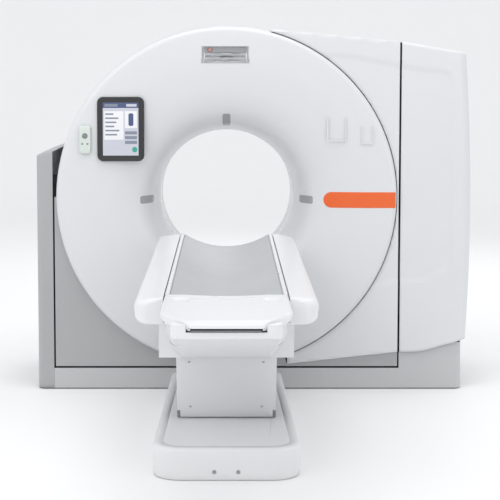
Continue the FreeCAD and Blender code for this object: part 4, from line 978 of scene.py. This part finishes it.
foot_low, foot_high = (Vector(corner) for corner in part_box("foot_plate"))
TAPER_START = -2.762
TIP_HALF = 0.118
TAPER_R = 0.420
ROLL_START = -2.930


def foot_half(y):
    """Half-width of the plate: straight, then one arc in to the tip."""
    if y >= TAPER_START:
        return HALF - 0.0003
    ends = Vector((HALF, TAPER_START)), Vector((TIP_HALF, foot_low.y))
    chord = ends[1] - ends[0]
    middle = (ends[0] + ends[1]) / 2
    reach = math.sqrt(TAPER_R ** 2 - (chord.length / 2) ** 2)
    inward = Vector((chord.y, -chord.x)).normalized()
    centre = middle + inward * reach
    return centre.x + math.sqrt(max(TAPER_R ** 2 - (y - centre.y) ** 2, 0.0)) - 0.0003


def foot_top(x, y, half):
    """Height of the upper face with its rolled nose, edges and the two finger recesses."""
    nose = max(0.0, (ROLL_START - y) / (ROLL_START - foot_low.y))
    fall = 0.020 * (1 - math.sqrt(max(1 - nose * nose, 0.0)))
    edge = max(0.0, (abs(x) - (half - 0.008)) / 0.008)
    fall += 0.006 * (1 - math.sqrt(max(1 - min(edge, 1.0) ** 2, 0.0)))
    grip = ((abs(x) - 0.163) / 0.034) ** 2 + ((y + 2.530) / 0.060) ** 2
    if grip < 1:
        fall += 0.0075 * smooth_step((1 - grip) * 1.6)
    dish = 0.0050 * max(0.0, 1 - (x / 0.150) ** 2) * smooth_step((y + 2.900) / 0.25)
    return foot_high.z - 0.0004 - fall - dish


foot_rings = []
for i in range(97):
    along = foot_high.y - 0.0004 + (foot_low.y + 0.0004 - foot_high.y) * (i / 96)
    half = foot_half(along)
    across = [(-half + 2 * half * j / 60) for j in range(61)]
    ring = [(x, along, foot_top(x, along, half)) for x in across]
    under = 0.0100 * smooth_step((-2.935 - along) / 0.044) * 0.4
    ring += [(half, along, foot_low.z + 0.008 + under), (half - 0.006, along, foot_low.z + 0.0005 + under),
             (-half + 0.006, along, foot_low.z + 0.0005 + under), (-half, along, foot_low.z + 0.008 + under)]
    foot_rings.append(ring)
foot_board = ring_piece("foot_board", foot_rings, "tabletop", "cradle_grey", rim_white, 42, capped=True)
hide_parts("foot_plate")

# ------------------------------------------------------------------ chin cover
# A white boat-shaped tray under the near end of the tabletop. Its nose narrows, its keel edges are
# round, and two raised shoulders close round the tapered foot plate with a thin gap.

chin_low, chin_high = (Vector(corner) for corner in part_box("chin_cover"))
CHIN_STEP = -2.503
CHIN_REAR = 0.727
CHIN_DECK = 0.7935
TAPER_FROM = -2.640
NOSE_HALF = 0.181
NOSE_LOW = 0.772
NOSE = 0.040


def chin_half(y):
    """Half-width in plan: straight, then narrowing, with a rounded nose."""
    taper = max(0.0, (TAPER_FROM - y) / (TAPER_FROM - chin_low.y))
    half = chin_high.x - 0.0005 - (chin_high.x - NOSE_HALF) * taper
    tip = max(0.0, (chin_low.y + NOSE - y) / NOSE)
    return half - 0.026 * (1 - math.sqrt(max(1 - min(tip, 1.0) ** 2, 0.0)))


def keel_z(y):
    return chin_low.z + 0.0005 + (NOSE_LOW - chin_low.z) * (chin_high.y - y) / (chin_high.y - chin_low.y)


def skin_half(half, rim_z, keel, turn):
    """Right half of the section: down the side, round the keel edge and in to the middle."""
    right = [(half, rim_z - (rim_z - keel - turn) * i / 8) for i in range(8)]
    bend = [(half - turn * (1 - math.cos(a)), keel + turn * (1 - math.sin(a))) for a in
            (math.radians(7.5 * i) for i in range(12))]
    flat = [((half - turn) * (1 - i / 6), keel) for i in range(7)]
    half_path = right + bend + flat
    return half_path + [(-x, z) for x, z in half_path[-2::-1]]


rear_steps = [chin_high.y - 0.0005 - (chin_high.y - CHIN_STEP - 0.001) * i / 28 for i in range(29)]
rear_rings = [[(x, along, z) for x, z in skin_half(chin_half(along), CHIN_REAR, keel_z(along), min(
    0.045, (CHIN_REAR - keel_z(along)) * 0.45))] for along in rear_steps]
nose_steps = [CHIN_STEP - 0.0005 - (CHIN_STEP - chin_low.y - NOSE) * i / 44 for i in range(45)]
nose_steps += [chin_low.y + 0.0005 + NOSE * (1 - math.sin(math.radians(90 * i / 14))) for i in range(1, 15)]
nose_rings = []
for along in nose_steps:
    half = chin_half(along)
    inner = foot_half(along) + 0.0045
    rise = (chin_high.z - 0.0005 - CHIN_DECK) * smooth_step((half - inner - 0.002) / 0.012)
    inner = min(inner, half - 0.006)
    rim_z = CHIN_DECK + rise
    path = skin_half(half, rim_z - 0.004, keel_z(along), min(0.045, (CHIN_DECK - keel_z(along)) * 0.45))
    path += [(-half + 0.0012, rim_z - 0.0012), (-half + 0.004, rim_z), (-inner - 0.0012, rim_z),
             (-inner, rim_z - 0.0012), (-inner, CHIN_DECK - 0.0002)]
    path += [(inner, CHIN_DECK - 0.0002), (inner, rim_z - 0.0012), (inner + 0.0012, rim_z),
             (half - 0.004, rim_z), (half - 0.0012, rim_z - 0.0012)]
    nose_rings.append([(x, along, z) for x, z in path])
chin_rear = ring_piece("chin_tray_rear", rear_rings, "table_body", "table_white", table_white,
                       closed_rings=False)
chin_shell = chin_rear.modifiers.new("shell", "SOLIDIFY")
chin_shell.thickness = 0.004
chin_shell.offset = -1
chin_nose = ring_piece("chin_tray_nose", nose_rings, "table_body", "table_white", table_white, 50,
                       capped=True)
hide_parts("chin_cover")

# ------------------------------------------------------------------ finishes of the fixed pieces
# Everything that keeps its made shape: outer covers, the steel structure and the rotating modules.

bore_film = finish("bore_film", (0.66, 0.68, 0.68), (0.61, 0.63, 0.63), 0.22, coat=0.4, grain_depth=0.03)
# a lighter copy of the textured grey for the lower cabinet cover and the beams: its lighter colour is painted
# light, standing in for light these panels do not get
lighter_grey_painted_light = finish("lighter_grey_painted_light", (0.52, 0.525, 0.53), (0.49, 0.495, 0.50), 0.46, grain_scale=1400.0,
                     grain_depth=0.18, dusty=0.12)
duct_grey = finish("duct_grey", (0.36, 0.36, 0.36), (0.32, 0.32, 0.32), 0.55, grain_depth=0.2, dusty=0.6)
structure = finish("painted_structure", (0.10, 0.105, 0.115), (0.125, 0.13, 0.14), 0.48,
                   grain_depth=0.12, coat=0.1)
ground_steel = finish("ground_steel", (0.50, 0.50, 0.50), (0.42, 0.42, 0.43), 0.28, metal=1.0,
                      grain_depth=0.03)
alloy = finish("machined_alloy", (0.60, 0.61, 0.62), (0.54, 0.55, 0.56), 0.34, metal=1.0, grain_depth=0.05)
module_blue = finish("module_paint", (0.20, 0.25, 0.31), (0.17, 0.215, 0.27), 0.42,
                     grain_depth=0.10, coat=0.1)
belt_rubber = finish("belt_rubber", (0.022, 0.022, 0.023), (0.035, 0.035, 0.036), 0.66, grain_depth=0.3)
finishes = {
    white_gloss: ("unit_shroud", "rear_cover", "rear_funnel", "holder_seats"),
    grey_texture: ("lower_front_panel",),
    lighter_grey_painted_light: ("cabinet_lower_cover", "front_beam_cover", "rear_beam_cover"),
    bore_film: ("scan_window",),
    duct_grey: ("floor_duct",),
    table_white: ("table_tub",),
    structure: ("gantry_base_plate", "left_stand", "right_stand", "power_cabinet", "stator_frame",
                "table_base_plate", "table_frame", "tabletop_carriage", "slip_ring_brushes"),
    ground_steel: ("trunnion_bearings", "left_trunnion", "right_trunnion_gear", "main_bearing_outer",
                   "main_bearing_inner", "tilt_pinion", "motor_pulley", "slide_rails", "support_roller"),
    alloy: ("rotor_drum", "slip_ring", "collimator", "lift_column_outer", "lift_column_middle",
            "lift_column_inner"),
    module_blue: ("tilt_gearmotor", "xray_tube", "detector_array", "hv_generator", "tube_cooler",
                  "rotor_motor"),
    belt_rubber: ("rotor_belt",),
}
for material, names in finishes.items():
    for name in names:
        coat_node(name, material)

# ------------------------------------------------------------------ floor and light
# A plain pale studio floor, one broad key light, a weaker fill and a strip overhead.

sweep = [(-14.0, 0.0), (8.0, 0.0)] + [(8.0 + 4.0 * math.sin(a), 4.0 - 4.0 * math.cos(a)) for a in
                                      (math.radians(6 * i) for i in range(1, 16))] + [(12.0, 16.0)]
floor_rings = [[(x, y, z) for x in (-24, 24)] for y, z in sweep]
floor_mesh = rings_mesh("studio_floor", floor_rings, closed_rings=False)
floor = bpy.data.objects.new("studio_floor", floor_mesh)
bpy.context.scene.collection.objects.link(floor)
for face in floor_mesh.polygons:
    face.use_smooth = True
floor_finish = finish("studio_floor", (0.90, 0.90, 0.90), (0.89, 0.89, 0.89), 0.75, marks=0.03,
                      grain_depth=0.02, specular=0.1)
floor_mesh.materials.append(floor_finish)

world = bpy.data.worlds.new("studio_world")
world.use_nodes = True
world.node_tree.nodes["Background"].inputs["Color"].default_value = (0.97, 0.98, 1.0, 1)
world.node_tree.nodes["Background"].inputs["Strength"].default_value = 0.98
bpy.context.scene.world = world
bpy.context.scene.view_settings.view_transform = "Standard"


def soft_light(name, place, target, size, power, colour=(1, 1, 1)):
    """A rectangular studio light aimed at a point."""
    lamp = bpy.data.lights.new(name, "AREA")
    lamp.shape = "RECTANGLE"
    lamp.size, lamp.size_y = size
    lamp.energy = power
    lamp.color = colour
    light = bpy.data.objects.new(name, lamp)
    light.location = place
    light.rotation_euler = (Vector(target) - Vector(place)).to_track_quat("-Z", "Y").to_euler()
    bpy.context.scene.collection.objects.link(light)


soft_light("key", (-3.2, -5.6, 4.4), (0.1, -0.6, 0.9), (2.6, 2.6), 62)
soft_light("fill", (4.4, -5.2, 2.2), (0.3, -0.6, 0.9), (3.0, 3.0), 18, (0.97, 0.98, 1.0))
soft_light("overhead", (0.2, -1.6, 4.8), (0.1, -0.9, 0.6), (3.5, 2.0), 45)
soft_light("rim", (1.2, 4.6, 3.6), (0.1, 0.0, 1.2), (3.0, 2.0), 40)
